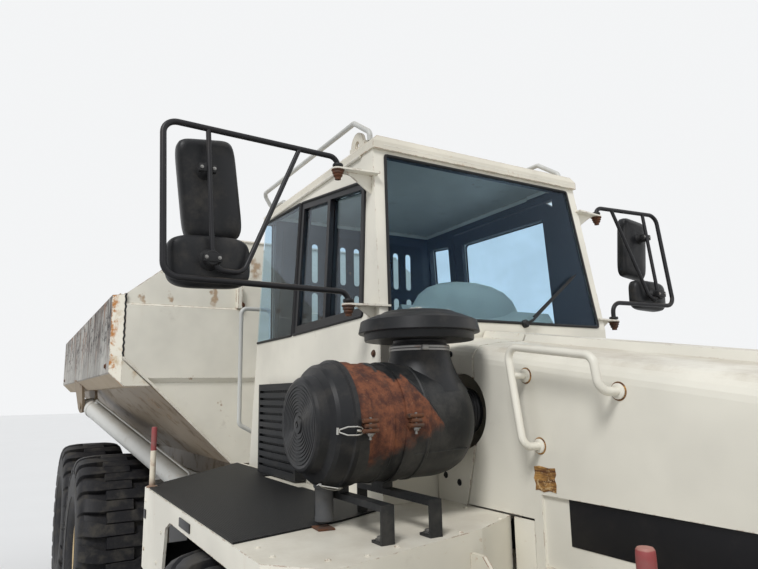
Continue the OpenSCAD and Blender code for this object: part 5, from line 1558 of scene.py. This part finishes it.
@dataclass
class Cab(Assembly):
    """Seals, wiper, door trim, controls and roof trim of the cab. Sizes in millimetres."""

    waist_z: float = 2440.0
    top_z: float = 3253.0
    waist_half: float = 690.0
    roof_half: float = 647.0
    screen_foot: float = -3.0
    screen_lean: float = 113.0
    rear_x: float = -1532.0
    rear_pane_x: float = -1533.0
    sill: float = 2455.0

    def build(self) -> None:
        """Builds every piece of the cab."""
        self._seals()
        self._wiper()
        self._door_trim()
        self._controls()
        self._roof_trim()

    def _side_y(self, z: float) -> float:
        """Half width of the cab's outside at a height."""
        share = max(0.0, (z - self.waist_z) / (self.top_z - self.waist_z))
        return self.waist_half - (self.waist_half - self.roof_half) * share

    def _screen(self, y: float, z: float, out: float = 0.0) -> Vector:
        """A point on the windscreen's plane, moved out by a distance."""
        back = self.screen_lean * (z - self.waist_z) / (self.top_z - self.waist_z)
        return at(self.screen_foot - back + out, y, z)

    def _wall(self, x: float, z: float, side: int, out: float = 0.0) -> Vector:
        """A point on a side wall, moved out by a distance."""
        return at(x, side * (self._side_y(z) + out), z)

    def _seals(self) -> None:
        """Rubber seals round every window."""
        seals = Sculpt()
        low = self.sill
        screen = [self._screen(y, z, 1) for y, z in ((-640, low), (640, low), (585, 3217), (-585, 3217))]
        side = [self._wall(x, z, -1, 1) for x, z in ((-945, low), (-155, 2470), (-170, 3100), (-925, 3205))]
        corner = [self._wall(x, z, -1, 1)
                  for x, z in ((self.rear_x, low), (-960, low), (-940, 3207), (self.rear_x, 3232))]
        corner += [at(self.rear_pane_x, -592, 3232), at(self.rear_pane_x, -592, low)]
        rear = [at(self.rear_pane_x, y, z) for y, z in ((-540, 2500), (540, 2500), (507, 3163), (-507, 3163))]
        left = [self._wall(x, z, 1, 1) for x, z in ((-1462, low), (-1233, low), (-1233, 3148), (-1462, 3168))]
        for loop in (screen, side, corner, rear, left):
            seals.tube(rounded(loop, 0.012, 3, closed=True), 0.0075, 8, closed=True)
        seals.piece("window_seals", Body.TRACTOR.value, self.paints.rubber, Slot.RUBBER)
        door = [self._wall(x, z, 1, 1) for x, z in ((-1093, 2110), (-313, 2310), (-328, 3118), (-1093, 3133))]
        Sculpt().tube(rounded(door, 0.03, 4, closed=True), 0.0075, 8, closed=True).piece(
            "door_seal", Body.DOOR.value, self.paints.rubber, Slot.RUBBER)

    def _wiper(self) -> None:
        """The wiper's arm and blade, which rest on the windscreen."""
        foot, elbow = self._screen(120, 2452, 12), self._screen(150, 2470, 34)
        tip = self._screen(500, 2716, 22)
        arm = Sculpt().tube(rounded([foot, elbow, tip], 0.02), 0.006, 8)
        arm.lathe([(0, -0.004), (0.020, -0.004), (0.020, 0.012), (0.012, 0.020), (0, 0.020)],
                  facing(self._screen(120, 2452, 2), Vector((1, 0, 0.12))), 20)
        along = (tip - elbow).normalized()
        arm.tube([tip - along * 0.33, tip + along * 0.02], 0.0045, 6)
        start, end = self._screen(150, 2470, 9), self._screen(508, 2722, 9)
        way = (end - start).normalized() * 0.012
        arm.loft([[p + Vector((0.008, 0, 0)), p + Vector((0.003, 0, 0.006)), p - Vector((0.008, 0, 0)),
                   p + Vector((0.003, 0, -0.006))] for p in (start + way * 3, end)])
        arm.piece("wiper", Body.TRACTOR.value, self.paints.rubber, Slot.RUBBER)

    def _door_trim(self) -> None:
        """The door's handle and lock, and the screws of its hinges."""
        handle = Sculpt()
        y = self.waist_half
        handle.block(at(-1120, y, 1990), at(-1010, y + 5, 2040), 0.004)
        handle.tube(rounded([at(-1108, y + 3, 2026), at(-1108, y + 40, 2026), at(-1022, y + 40, 2026),
                             at(-1022, y + 3, 2026)], 0.014), 0.007, 10)
        handle.lathe([(0, 0), (0.012, 0), (0.012, 0.007), (0.006, 0.009), (0, 0.009)],
                     facing(at(-1065, y + 4, 2002), Vector((0, 1, 0))), 16)
        handle.tube(rounded([at(-1040, y - 45, 2200), at(-1040, y - 95, 2200), at(-1040, y - 95, 2340),
                             at(-1040, y - 45, 2340)], 0.02), 0.010, 10)
        handle.piece("door_handle", Body.DOOR.value, self.paints.cover, Slot.BLACK)
        places = [(at(x, y + 17, z + dz), Vector((0, 1, 0))) for x in (-298, -272) for z in (1850, 2340)
                  for dz in (-11, 11)]
        self.repeats.fasteners("door_hinge_screws", Body.DOOR.value, places, hex_bolt(0.006, 0.005),
                               self.paints.wire, Slot.CHROME)

    def _controls(self) -> None:
        """Gauges, a lever, pedals and a console, and the dome on the dash."""
        inside = Sculpt()
        face = Vector((-0.95, 0, 0.32)).normalized()
        for y, r in ((-150, 0.045), (-50, 0.055), (60, 0.055), (160, 0.045), (250, 0.028), (-240, 0.028)):
            inside.lathe([(0, -0.01), (r, -0.01), (r, 0.010), (r - 0.006, 0.014), (r - 0.009, 0.008),
                          (0, 0.008)], facing(at(-296, y, 2345), face), 32)
        lever = rounded([at(-640, -330, 1700), at(-640, -330, 2020), at(-600, -330, 2150)], 0.05)
        inside.tube(lever, 0.011, 10)
        inside.pillow(at(-630, -358, 2130), at(-572, -302, 2200), 0.1, cuts=6, firmness=2.6)
        for y in (-160, 150):
            inside.prism([at(-400, y - 35, 1700), at(-400, y + 35, 1700), at(-340, y + 35, 1800),
                          at(-340, y - 35, 1800)], Vector((-0.012, 0, 0.008)), 0.003)
            inside.tube([at(-350, y, 1790), at(-328, y, 1900)], 0.010, 8)
        inside.block(at(-900, -420, 1652), at(-560, -300, 1960), 0.02)
        inside.piece("cab_controls", Body.TRACTOR.value, self.paints.cover, Slot.DASH)
        rows = [(330, -40), (330, 0), (318, 45), (288, 92), (235, 130), (160, 156), (80, 168), (0, 171)]
        place = Matrix.Translation(at(-195, -75, 2500)) @ Matrix.Diagonal((0.26, 1.0, 1.0, 1.0))
        Sculpt().lathe([(0, -0.04)] + [(r / 1000, h / 1000) for r, h in rows], place, 56).piece(
            "dash_dome", Body.TRACTOR.value, self.paints.dash, Slot.DASH)

    def _roof_trim(self) -> None:
        """Rain strips over the windows, a strip along the roof's front, and bolts."""
        trim = Sculpt()
        for side in (-1, 1):
            trim.tube(rounded([at(-1500, side * 655, 3238), at(-220, side * 655, 3238)], 0.02), 0.008, 8)
        trim.tube([at(-104, -600, 3262), at(-104, 600, 3262)], 0.007, 8)
        trim.piece("rain_strips", Body.TRACTOR.value, self.paints.cream, Slot.CREAM)
        places = [(at(x, side * 610, 3308 - 1), UP) for x in (-1450, -1100, -750, -470) for side in (-1, 1)]
        places += [(self._wall(-60, z, side, 0), Vector((0, side, 0))) for z in (2380, 2300)
                   for side in (-1, 1)]
        self.repeats.fasteners("cab_bolts", Body.TRACTOR.value, places, hex_bolt(0.011, 0.009),
                               self.paints.iron, Slot.CREAM)


@dataclass
class Seat(Assembly):
    """The driver's seat, whose cushions swell as cloth under pressure. Sizes in millimetres."""

    # Edge of the remeshed faces and the farthest move of a point, in metres
    voxel: float = 0.006
    limit: float = 0.014
    pressure: float = 4.0
    frames: int = 20

    def build(self) -> None:
        """Builds the base with its armrests, and the two cushions."""
        base = Sculpt().block(at(-1150, -180, 1650), at(-800, 180, 1700), 0.01)
        for k in range(7):
            grow = 20 if k % 2 else 0
            base.block(at(-1110 - grow, -150 - grow, 1700 + k * 27),
                       at(-840 + grow, 150 + grow, 1727 + k * 27), 0.008)
        base.block(at(-1180, -210, 1888), at(-740, 210, 1915), 0.01)
        for side in (-1, 1):
            base.block(at(-1190, side * 262, 2190), at(-860, side * 312, 2235), 0.016)
            base.tube(rounded([at(-1165, side * 185, 1901), at(-1165, side * 287, 1901),
                               at(-1176, side * 287, 2212)], 0.035), 0.014, 10)
            base.tube(rounded([at(-1150, side * 120, 1901), at(-1212, side * 120, 1901),
                               at(-1224, side * 120, 2262)], 0.03), 0.013, 10)
        base.piece("seat_base", Body.TRACTOR.value, self.paints.cover, Slot.DASH)
        cushion = Sculpt().pillow(at(-1190, -240, 1922), at(-712, 240, 2038), 0.16,
                                  grooves=(-0.42, 0.0, 0.42))
        piece = cushion.piece("seat_cushion", Body.TRACTOR.value, self.paints.cloth, Slot.CLOTH, ["seat"],
                              sharp=60)
        self._swell(piece)
        back = Sculpt().pillow(Vector((-0.30, -0.22, -0.052)), Vector((0.30, 0.22, 0.052)), 0.16,
                               grooves=(-0.45, 0.1, 0.55))
        lean = Vector((-100, 0, 660)).normalized()
        turn = Matrix.Translation(at(-1176, 0, 2350)) @ Matrix((
            (lean.x, 0, lean.z, 0), (0, 1, 0, 0), (lean.z, 0, -lean.x, 0), (0, 0, 0, 1)))
        bmesh.ops.transform(back.bm, matrix=turn, verts=back.bm.verts)
        piece = back.piece("seat_backrest", Body.TRACTOR.value, self.paints.cloth, Slot.CLOTH, sharp=60)
        self._swell(piece)

    @staticmethod
    def _settle(worker: bpy.types.Object) -> None:
        """Turns what an object's modifiers make into its own mesh, and removes them.

        Args:
            worker: The object.
        """
        graph = bpy.context.evaluated_depsgraph_get()
        made = bpy.data.meshes.new_from_object(worker.evaluated_get(graph), depsgraph=graph)
        worker.modifiers.clear()
        worker.data = made

    def _swell(self, piece: bpy.types.Object) -> None:
        """Args:
            piece: The cushion, whose mesh is replaced by the swollen one.
        """
        scene = bpy.context.scene
        finish = piece.data.materials[0]
        worker = bpy.data.objects.new("worker", piece.data.copy())
        scene.collection.objects.link(worker)
        remesh = worker.modifiers.new("remesh", "REMESH")
        remesh.mode, remesh.voxel_size = "VOXEL", self.voxel
        self._settle(worker)
        start = [v.co.copy() for v in worker.data.vertices]
        cloth = worker.modifiers.new("cloth", "CLOTH")
        cloth.settings.use_pressure = True
        cloth.settings.uniform_pressure_force = self.pressure
        cloth.settings.effector_weights.gravity = 0.0
        for step in range(1, self.frames + 1):
            scene.frame_set(step)
        self._settle(worker)
        scene.frame_set(1)
        for point, home in zip(worker.data.vertices, start):
            move = point.co - home
            point.co = home + move * min(1.0, self.limit / max(move.length, 1e-9))
        subdivide = worker.modifiers.new("subdivide", "SUBSURF")
        subdivide.levels = subdivide.render_levels = 1
        self._settle(worker)
        mesh = worker.data
        mesh.materials.clear()
        mesh.materials.append(finish)
        mesh.polygons.foreach_set("use_smooth", [True] * len(mesh.polygons))
        mesh.polygons.foreach_set("material_index", [0] * len(mesh.polygons))
        piece.data = mesh
        bpy.data.objects.remove(worker)
        LOG.info("%s swelled to %d faces", piece.name, len(mesh.polygons))


@dataclass
class Mirrors(Assembly):
    """Mirror frames, and housings with their glass and clamps, on both sides. Sizes in millimetres."""

    # Side, reach, swing forward in degrees, rise of the lower tube, size of the heads, their levels from
    # the pivots
    arms: tuple = ((-1, 752, 3.5, 0, 1.0, -218, 86), (1, 470, 6, 50, 0.88, -198, 118))
    stem_share: float = 0.772
    tube: float = 12.0
    top: tuple = (-114, 826, 3157)
    low: tuple = (-44, 816, 2547)
    lean: float = 7.0

    def build(self) -> None:
        """Builds frames, housings, glasses and clamps."""
        frames, shells, glasses, clamps = Sculpt(), Sculpt(), Sculpt(), Sculpt()
        bolts, springs = Sculpt(), Sculpt()
        for side, reach, swing, rise, size, high, low in self.arms:
            out = reach * self.stem_share
            self._frame(frames, side, reach, swing, rise)
            head = self._point(self.top, side, out, swing, high)
            lower = self._point(self.low, side, out, swing, low)
            inward = Vector((0, -side * 0.001, 0))
            self._housing(shells, glasses, head + inward * 28, 116 * size, 206 * size, 7.0, -side * self.lean)
            self._housing(shells, glasses, lower + inward * 8, 157 * size, 99 * size, 4.2,
                          -side * self.lean * 0.3)
            for centre, radius in ((head + Vector((0, 0, 0.058)), 0.024), (lower, 0.030)):
                knob = facing(centre + Vector((-0.045, 0, 0)), AHEAD)
                clamps.lathe([(0, 0), (radius * 1.5, 0), (radius * 1.3, 0.012), (radius, 0.024),
                              (radius, 0.052), (radius * 0.85, 0.060), (0, 0.062)], knob, 24)
                clamps.block(centre + Vector((-0.006, -0.034, -0.016)),
                             centre + Vector((0.020, 0.034, 0.016)), 0.005)
                for dy in (-0.024, 0.024):
                    bolts.add(hex_bolt(0.0045, 0.005), facing(centre + Vector((0.020, dy, 0)), AHEAD))
            for place in (self.top, self.low):
                foot = facing(self._point(place, side, 0, swing, -38), UP)
                rows = [(0.0118, 0), (0.022, 0), (0.024, 0.006), (0.022, 0.013), (0.0118, 0.014)]
                clamps.lathe(rows, foot, 20, ring=True)
                rows = [(0, -50.5), (28, -50.5), (29, -55), (23, -60), (25, -65), (24, -69), (19, -73),
                        (21, -78), (19, -82), (14, -86), (13, -96), (0, -97)]
                foot = facing(self._point(place, side, 0, swing, 0), UP)
                springs.turned(rows, foot, 24)
        bolts.piece("mirror_bolts", Body.TRACTOR.value, self.paints.steel, Slot.CHROME)
        springs.piece("mirror_springs", Body.TRACTOR.value, self.paints.iron, Slot.BLACK)
        frames.piece("mirror_frames", Body.TRACTOR.value, self.paints.black, Slot.BLACK, ["mirror_arms"],
                     sharp=45)
        shells.piece("mirror_housings", Body.TRACTOR.value, self.paints.cover, Slot.BLACK, ["mirror_heads"],
                     sharp=45)
        glasses.piece("mirror_glasses", Body.TRACTOR.value, self.paints.mirror, Slot.CHROME)
        clamps.piece("mirror_clamps", Body.TRACTOR.value, self.paints.rubber, Slot.BLACK)

    def _frame(self, frame_mesh: Sculpt, side: int, reach: float, swing: float, rise: float) -> None:
        """Adds the outer tube, and the stem that turns up into the brace.

        Args:
            frame_mesh: Mesh that takes the tubes.
            side: 1 on the left, -1 on the right.
            reach: Length of the arm.
            swing: Turn forward, in degrees.
            rise: Height of the lower tube over its pivot.
        """
        def point(low: bool, out: float, up: float) -> Vector:
            """A point along the lower or the upper arm."""
            return self._point(self.low if low else self.top, side, out, swing, up)
        outer = [point(False, 0, -80), point(False, 0, 5), point(False, reach, 5),
                 point(True, reach, 5 + rise), point(True, 0, 5 + rise), point(True, 0, -80)]
        frame_mesh.tube(rounded(outer, 0.055, 9), self.tube / 1000, 14)
        out = reach * self.stem_share
        foot = point(True, out - 6, 45 + rise)
        brace = [point(False, out, 5), foot, point(True, out - reach * 0.16, 40 + rise),
                 point(False, reach * 0.25, 5)]
        frame_mesh.tube(rounded(brace, 0.05, 8), self.tube / 1000 - 0.002, 12)

    @staticmethod
    def _point(place: tuple, side: int, out: float, swing: float, up: float) -> Vector:
        """A point along a mirror's arm."""
        turn = math.radians(swing)
        return at(place[0] + out * math.sin(turn), side * (place[1] + out * math.cos(turn)), place[2] + up)

    @staticmethod
    def _housing(shell: Sculpt, glass: Sculpt, centre: Vector, half_w: float, half_h: float, power: float,
                 lean: float) -> None:
        """Adds a domed housing behind the stem, and the glass in its rear face.

        Args:
            shell: Mesh that takes the housing.
            glass: Mesh that takes the glass.
            centre: Point on the stem.
            half_w: Half width.
            half_h: Half height.
            power: Power of the outline's rounding.
            lean: Turn in its own plane, in degrees.
        """
        turn = Matrix.Rotation(math.radians(lean), 3, "X")

        def outline(x: float, scale: float) -> list[Vector]:
            """The housing's outline at a depth.

            Args:
                x: Distance ahead of the stem.
                scale: Scale about the outline's middle.

            Returns:
                The points of the outline.
            """
            points = []
            for k in range(64):
                c, s = math.cos(math.pi * k / 32), math.sin(math.pi * k / 32)
                across, above = (math.copysign(abs(v) ** (2 / power), v) * scale for v in (c, s))
                points.append(centre + turn @ Vector((x, across * half_w, above * half_h)) / 1000)
            return points
        sections = ((-96, 0.90), (-96, 0.97), (-92, 1.0), (-72, 1.0), (-56, 0.98), (-46, 0.92), (-40, 0.80),
                    (-37, 0.55), (-36, 0.25))
        shell.loft([outline(x, s) for x, s in sections])
        glass.loft([outline(x, s) for x, s in ((-95.5, 0.89), (-99, 0.885))])


@dataclass
class Hood(Assembly):
    """Stripes, glue remains, rail, skirts, screws, latches, lamps and grille bars. Sizes in millimetres."""

    half: float = 425.0
    stripe_x: tuple = (712, 2484)
    stripe_z: tuple = (1645, 1788)

    def build(self) -> None:
        """Builds every piece on the hood and the cowl."""
        stripes = Sculpt()
        for side in (-1, 1):
            ends = [at(x, side * (self.half - inset), z)
                    for x, inset, z in zip(self.stripe_x, (10.5, 8), self.stripe_z)]
            stripes.block(*ends, 0.0008)
        stripes.piece("hood_stripes", Body.HOOD.value, self.paints.stripe, Slot.BLACK)
        self._patch()
        self._rail()
        self._skirts()
        self._screws()
        self._latches()
        self._lamps_and_grille()

    def _patch(self) -> None:
        """Brown remains of an old plate on the hood's right side."""
        outline = ((572, 1880), (598, 1884), (640, 1879), (668, 1882), (672, 1861), (664, 1846), (671, 1829),
                   (668, 1802), (640, 1806), (612, 1799), (590, 1805), (574, 1802), (577, 1822), (569, 1841),
                   (575, 1858))
        Sculpt().prism([at(x, -self.half + 0.4, z) for x, z in outline], Vector((0, -0.0016, 0))).piece(
            "hood_patch", Body.HOOD.value, self.paints.patch, Slot.CREAM)

    def _rail(self) -> None:
        """The bent grab rail with its feet, and the rusty rings round them."""
        out, foot = -self.half - 75, -self.half + 0.3
        rail, rust = Sculpt(), Sculpt()
        corners = [at(606, foot, 1950), at(606, out, 1950), at(548, out, 2290), at(922, out, 2237),
                   at(938, out, 2130), at(945, foot, 2130)]
        rail.tube(rounded(corners, 0.038, 8), 0.0135, 16)
        rail.tube([at(558, out + 4, 2188), at(556, foot, 2188)], 0.0115, 12)
        for x, z in ((606, 1950), (945, 2130), (556, 2188)):
            place = facing(at(x, -self.half, z), Vector((0, -1, 0)))
            washer = [(0, -0.0004), (0.024, -0.0004), (0.024, 0.006), (0.020, 0.009), (0, 0.009)]
            rail.lathe(washer, place, 28)
            halo = [(0.024, 0.0002), (0.029, 0.0002), (0.028, 0.0016), (0.024, 0.002)]
            rust.lathe(halo, place, 28, ring=True)
        rail.piece("grab_rail", Body.HOOD.value, self.paints.hood, Slot.CREAM, ["hood_rail"], sharp=50)
        rust.piece("rail_rust", Body.HOOD.value, self.paints.patch, Slot.CREAM)

    def _skirts(self) -> None:
        """Plates that close the gap between the decks' ends and the hood's sides."""
        skirts = Sculpt()
        for side in (-1, 1):
            skirts.block(at(456, side * (self.half - 1), 1345), at(556, side * (self.half - 8), 1698), 0.002)
        skirts.piece("hood_skirts", Body.TRACTOR.value, self.paints.cream, Slot.CREAM)

    def _screws(self) -> None:
        """Small black screws on the cowl, and bolts along the hood's foot and on its nose."""
        right, left = Vector((0, -1, 0)), Vector((0, 1, 0))
        spots = ((120, 2290), (60, 1800), (150, 1780), (60, 2250), (150, 2060))
        places = [(at(x, -self.half, z), right) for x, z in spots[:4]]
        places += [(at(x, self.half, z), left) for x, z in spots]
        self.repeats.fasteners("cowl_screws", Body.TRACTOR.value, places, hex_bolt(0.009, 0.007),
                               self.paints.cover, Slot.BLACK)
        places = [(at(x, side * self.half, 1340), Vector((0, side, 0))) for x in range(900, 2800, 300)
                  for side in (-1, 1)]
        places += [(at(2838, y, z), AHEAD) for y in (-390, 390) for z in (1400, 1650, 1880)]
        self.repeats.fasteners("hood_bolts", Body.HOOD.value, places, hex_bolt(0.009, 0.008),
                               self.paints.iron, Slot.CREAM)

    def _latches(self) -> None:
        """Rubber latches that hold the hood down on the decks' side."""
        latches = Sculpt()
        for side in (-1, 1):
            y = side * self.half
            latches.block(at(1180, y, 1395), at(1240, y + side * 8, 1470), 0.003)
            latches.loft([[at(1210 + w, y + side * d, z) for w, d in ((-14, 6), (14, 6), (14, 14), (-14, 14))]
                          for z in (1345, 1360, 1400, 1455)])
        latches.piece("hood_latches", Body.HOOD.value, self.paints.rubber, Slot.RUBBER)

    def _lamps_and_grille(self) -> None:
        """Lamp glasses with their rings, and the grille's mesh bars."""
        rings, lenses = Sculpt(), Sculpt()
        for side in (-1, 1):
            for dy in (-70, 70):
                way = facing(at(2866, side * 880 + dy, 900), AHEAD)
                rings.lathe([(0.052, -0.006), (0.064, -0.006), (0.064, 0.010), (0.058, 0.014),
                             (0.052, 0.010)], way, 40, ring=True)
                lenses.lathe([(0, -0.004), (0.054, -0.004), (0.053, 0.004), (0.036, 0.011), (0.016, 0.014),
                              (0, 0.0145)], way, 40)
        rings.piece("lamp_rings", Body.TRACTOR.value, self.paints.cover, Slot.BLACK)
        lenses.piece("lamp_lenses", Body.TRACTOR.value, self.paints.lens, Slot.LAMP)
        bar = Sculpt().block(at(2822, -340, 1378), at(2830, -334, 1876), 0.001).mesh("bar")
        Sculpt().add(self.repeats.row(bar, 18, Vector((0, 0.04, 0)), self.paints.black)).piece(
            "grille_bars", Body.HOOD.value, self.paints.black, Slot.BLACK)


@dataclass
class Decks(Assembly):
    """Bolts, reflectors, poles and step ribs of the decks. Sizes in millimetres."""

    top: float = 1700.0
    half: float = 1395.0
    # Bolts on top of the decks, as (station, side), and on their outer walls, as (station, height)
    top_bolts: tuple = ((620, 1230), (600, 1000), (560, 740), (470, 500), (60, 480), (240, 470),
                        (640, 1120), (-1730, 760), (500, 1340), (380, 1340))
    wall_bolts: tuple = ((520, 1660), (520, 1480), (-1080, 1640), (-1080, 1420), (-780, 1420), (-700, 1560))
    # Foot, segments and profile of the short pole at the rear and the long one in front
    pole_table: tuple = (
        ((-1085, 1369, 1700), 28, ((0, 0.5), (26, 0.5), (26, 6), (14, 10), (13.5, 284), (11, 289), (0, 290))),
        ((1265, 780, 1090), 36, ((0, 0), (25, 0), (21.5, 690), (20.5, 704), (17, 709), (0, 710))))

    def build(self) -> None:
        """Builds every piece on the decks."""
        places = []
        for side in (-1, 1):
            places += [(at(x, side * y, self.top), UP) for x, y in self.top_bolts]
            places += [(at(x, side * self.half, z), Vector((0, side, 0))) for x, z in self.wall_bolts]
        self.repeats.fasteners("deck_bolts", Body.TRACTOR.value, places, hex_bolt(0.0065, 0.005),
                               self.paints.cream, Slot.CREAM)
        marks = Sculpt()
        for side in (-1, 1):
            marks.block(at(-361, side * (self.half - 0.5), 1643), at(-196, side * (self.half + 5), 1676),
                        0.004)
            marks.block(at(-1100, side * (self.half - 0.5), 1560), at(-1060, side * (self.half + 5), 1600),
                        0.002)
        marks.piece("deck_reflectors", Body.TRACTOR.value, self.paints.cover, Slot.LAMP)
        poles = Sculpt()
        for side in (-1, 1):
            for (x, y, z), sides, rows in self.pole_table:
                poles.turned(rows, facing(at(x, side * y, z), UP), sides)
        poles.piece("pole_tubes", Body.TRACTOR.value, self.paints.pole, Slot.POLE, ["marker_poles"])
        treads = Sculpt()
        for side in (-1, 1):
            for i in (1, 2):
                low = at(995 - i * 130, side * 720, 1090 + i * 205)
                rib = Sculpt().block(low, low + Vector((0.006, side * 0.395, 0.005)), 0.001).mesh("rib")
                treads.add(self.repeats.row(rib, 11, Vector((0.018, 0, 0)), self.paints.cream))
        treads.piece("step_ribs", Body.TRACTOR.value, self.paints.frame, Slot.CREAM)


@dataclass
class RearUnit(Assembly):
    """Seams, pin caps, fittings and lamps of the dump body and the rear frame. Sizes in millimetres."""

    # Pins of the left hoist cylinder, mirrored on the right, and of the walking beams
    hoist_head: tuple = (-4800, 1335, 2065)
    hoist_foot: tuple = (-2585, 730, 1385)
    beam_x: float = -4950.0
    beam_z: float = 1110.0
    # Reach and height of the side boxes' top rim
    rim_front: float = -2300.0
    rim_tail: float = -6862.0
    rim_z: float = 2836.0

    def build(self) -> None:
        """Builds every piece of the rear unit."""
        self._welds()
        self._hoists()
        self._frame_trim()

    def _welds(self) -> None:
        """Weld beads along the folds, edges and top rim, and the dark gaps beside the side boxes."""
        beads, gaps = Sculpt(), Sculpt()
        for side in (-1, 1):
            beads.tube([at(-2257, side * 1376, 2402), at(-2257, side * 1184, 2226),
                        at(-2277, side * 607, 1659)], 0.009, 8)
            gaps.tube([at(-2261 + 2 * math.sin(z * 0.9), side * (1373 + 3 * math.sin(z * 0.13)), z)
                       for z in range(2405, 2838, 12)], 0.0065, 6)
            for y, radius in ((1372, 0.009), (1404, 0.006)):
                beads.tube([at(x, side * y, self.rim_z) for x in (self.rim_front, self.rim_tail)], radius, 6)
        beads.tube([at(-2272, -808, 3291), at(-2272, 808, 3291)], 0.010, 6)
        beads.piece("body_welds", Body.DUMP.value, self.paints.body, Slot.CREAM)
        gaps.piece("body_gaps", Body.DUMP.value, self.paints.cover, Slot.CREAM)
        places = [(at(-2258, y, 2800), AHEAD) for y in (-560, 560)]
        places += [(at(x, side * 1450, 2350), Vector((0, side, 0))) for x in (-2500, -6600)
                   for side in (-1, 1)]
        self.repeats.fasteners("body_bolts", Body.DUMP.value, places, hex_bolt(0.014, 0.012),
                               self.paints.iron, Slot.CREAM)

    def _hoists(self) -> None:
        """Gland rings, oil unions and oil pipes of the hoist cylinders."""
        head, foot = at(*self.hoist_head), at(*self.hoist_foot)
        for side, sign in (("left", 1), ("right", -1)):
            a, b = (Vector((p.x, sign * p.y, p.z)) for p in (head, foot))
            way = (b - a).normalized()
            reach = (b - a).length
            trim = Sculpt()
            place = facing(a, way)
            gland = [(0.0505, reach - 0.175), (0.090, reach - 0.175), (0.090, reach - 0.150),
                     (0.078, reach - 0.146), (0.078, reach - 0.128), (0.0505, reach - 0.128)]
            trim.lathe(gland, place, 40, ring=True)
            trim.lathe([(0.078, 0.150), (0.084, 0.150), (0.084, 0.185), (0.078, 0.185)], place, 40, ring=True)
            over = UP - way * way.z
            over.normalize()
            root = a + way * 0.22 + over * 0.078
            trim.lathe([(0, 0), (0.024, 0), (0.024, 0.018), (0.016, 0.022), (0.016, 0.040), (0, 0.040)],
                       facing(root, over), 12)
            end = a + way * (reach - 0.24) + over * 0.106
            pipe = rounded([root + over * 0.03, a + way * 0.27 + over * 0.108, end, end - over * 0.03], 0.02)
            trim.tube(pipe, 0.009, 8)
            trim.piece(f"hoist_trim_{side}", f"hoist_barrel_{side}", self.paints.hoist, Slot.CREAM)

    def _frame_trim(self) -> None:
        """Tail lamps, pin caps, a propeller shaft and bolts of the rear frame."""
        lamps, caps, dark = Sculpt(), Sculpt(), Sculpt()
        for side in (-1, 1):
            dark.block(at(-6345, side * 300, 1240), at(-6335, side * 560, 1330), 0.004)
            for y in (345, 435, 525):
                lamps.lathe([(0, 0), (0.036, 0), (0.036, 0.010), (0.026, 0.017), (0, 0.020)],
                            facing(at(-6344, side * y, 1285), Vector((-1, 0, 0))), 28)
            caps.lathe([(0, 0), (0.105, 0), (0.105, 0.014), (0.09, 0.022), (0.03, 0.024), (0, 0.024)],
                       facing(at(self.beam_x, side * 640, self.beam_z), Vector((0, side, 0))), 36)
        lamps.piece("tail_lamps", Body.REAR.value, self.paints.red_lens, Slot.LAMP)
        dark.piece("lamp_plates", Body.REAR.value, self.paints.black, Slot.BLACK)
        shaft = facing(at(-5500, 0, 830), AHEAD)
        caps.lathe([(0, -0.04), (0.07, -0.04), (0.07, 0.0), (0.042, 0.03), (0.042, 1.08), (0.07, 1.10),
                    (0.07, 1.15), (0, 1.15)], shaft, 28)
        caps.piece("rear_shaft_and_caps", Body.REAR.value, self.paints.grey, Slot.GREY)
        places = [(at(self.beam_x + 75 * math.cos(t), side * 664, self.beam_z + 75 * math.sin(t)),
                   Vector((0, side, 0))) for t in (0.3, 1.35, 2.4, 3.44, 4.5, 5.54) for side in (-1, 1)]
        places += [(at(x, side * 400, 1360), Vector((0, side, 0))) for x in range(-6200, -2300, 420)
                   for side in (-1, 1)]
        self.repeats.fasteners("rear_frame_bolts", Body.REAR.value, places, hex_bolt(0.013, 0.012),
                               self.paints.iron, Slot.GREY)


@dataclass
class Coats:
    """Materials for the CAD nodes that stay in sight."""

    paints: Palette

    def apply(self) -> None:
        """Gives each CAD node its material."""
        p = self.paints
        coats = [
            (p.cream, ["cowl", "deck_right", "deck_left"]),
            (p.cab, ["cab_shell", "cab_door"]),
            (p.roof, ["cab_roof"]),
            (p.hoist, ["hoist_barrel_left", "hoist_barrel_right", "cab_rails"]),
            (p.hood, ["hood"]),
            (p.frame, ["front_frame", "front_bumper", "front_boxes", "rear_frame"]),
            (p.body, ["front_wall"]),
            (p.belly, ["dump_shell", "body_brackets"]),
            (p.side, ["side_boxes"]),
            (p.grey, ["front_axle", "engine", "hitch", "rear_axles", "walking_beams"]),
            # window_guard is painted black as painted shade on its face seen through the rear window
            (p.black, ["window_guard", "grille", "sliding_window", "steer_barrel_left", "steer_barrel_right",
                       "side_tanks"]),
            (p.drum, ["cleaner_stand"]),
            (p.louvre, ["louvre_box"]),
            (p.mat, ["deck_mats"]),
            (p.rubber, ["front_mudflaps"]),
            (p.dash, ["dash"]),
            (p.glass, ["cab_glass", "door_glass"]),
            (p.lens, ["headlamps"]),
            (p.chrome, ["hoist_rod_left", "hoist_rod_right", "steer_rod_left", "steer_rod_right"]),
            (p.gold, [f"rim_{a}_{s}" for a in ("front", "middle", "rear") for s in ("left", "right")]),
        ]
        for material, nodes in coats:
            for node in nodes:
                thing = frame["nodes"][node]
                if not thing.material_slots:
                    thing.data.materials.append(material)
                for slot in thing.material_slots:
                    slot.material = material


def main() -> None:
    """Builds the stage and every sub-assembly in order."""
    logging.basicConfig(level=logging.INFO, format="%(message)s")
    Studio().build()
    paints, repeats = Palette(), Repeats()
    Coats(paints).apply()
    for kind in (Wheels, AirCleaner, Cab, Seat, Mirrors, Hood, Decks, RearUnit):
        LOG.info("building %s", kind.__name__)
        kind(paints, repeats).build()


if __name__ == "__main__":
    main()
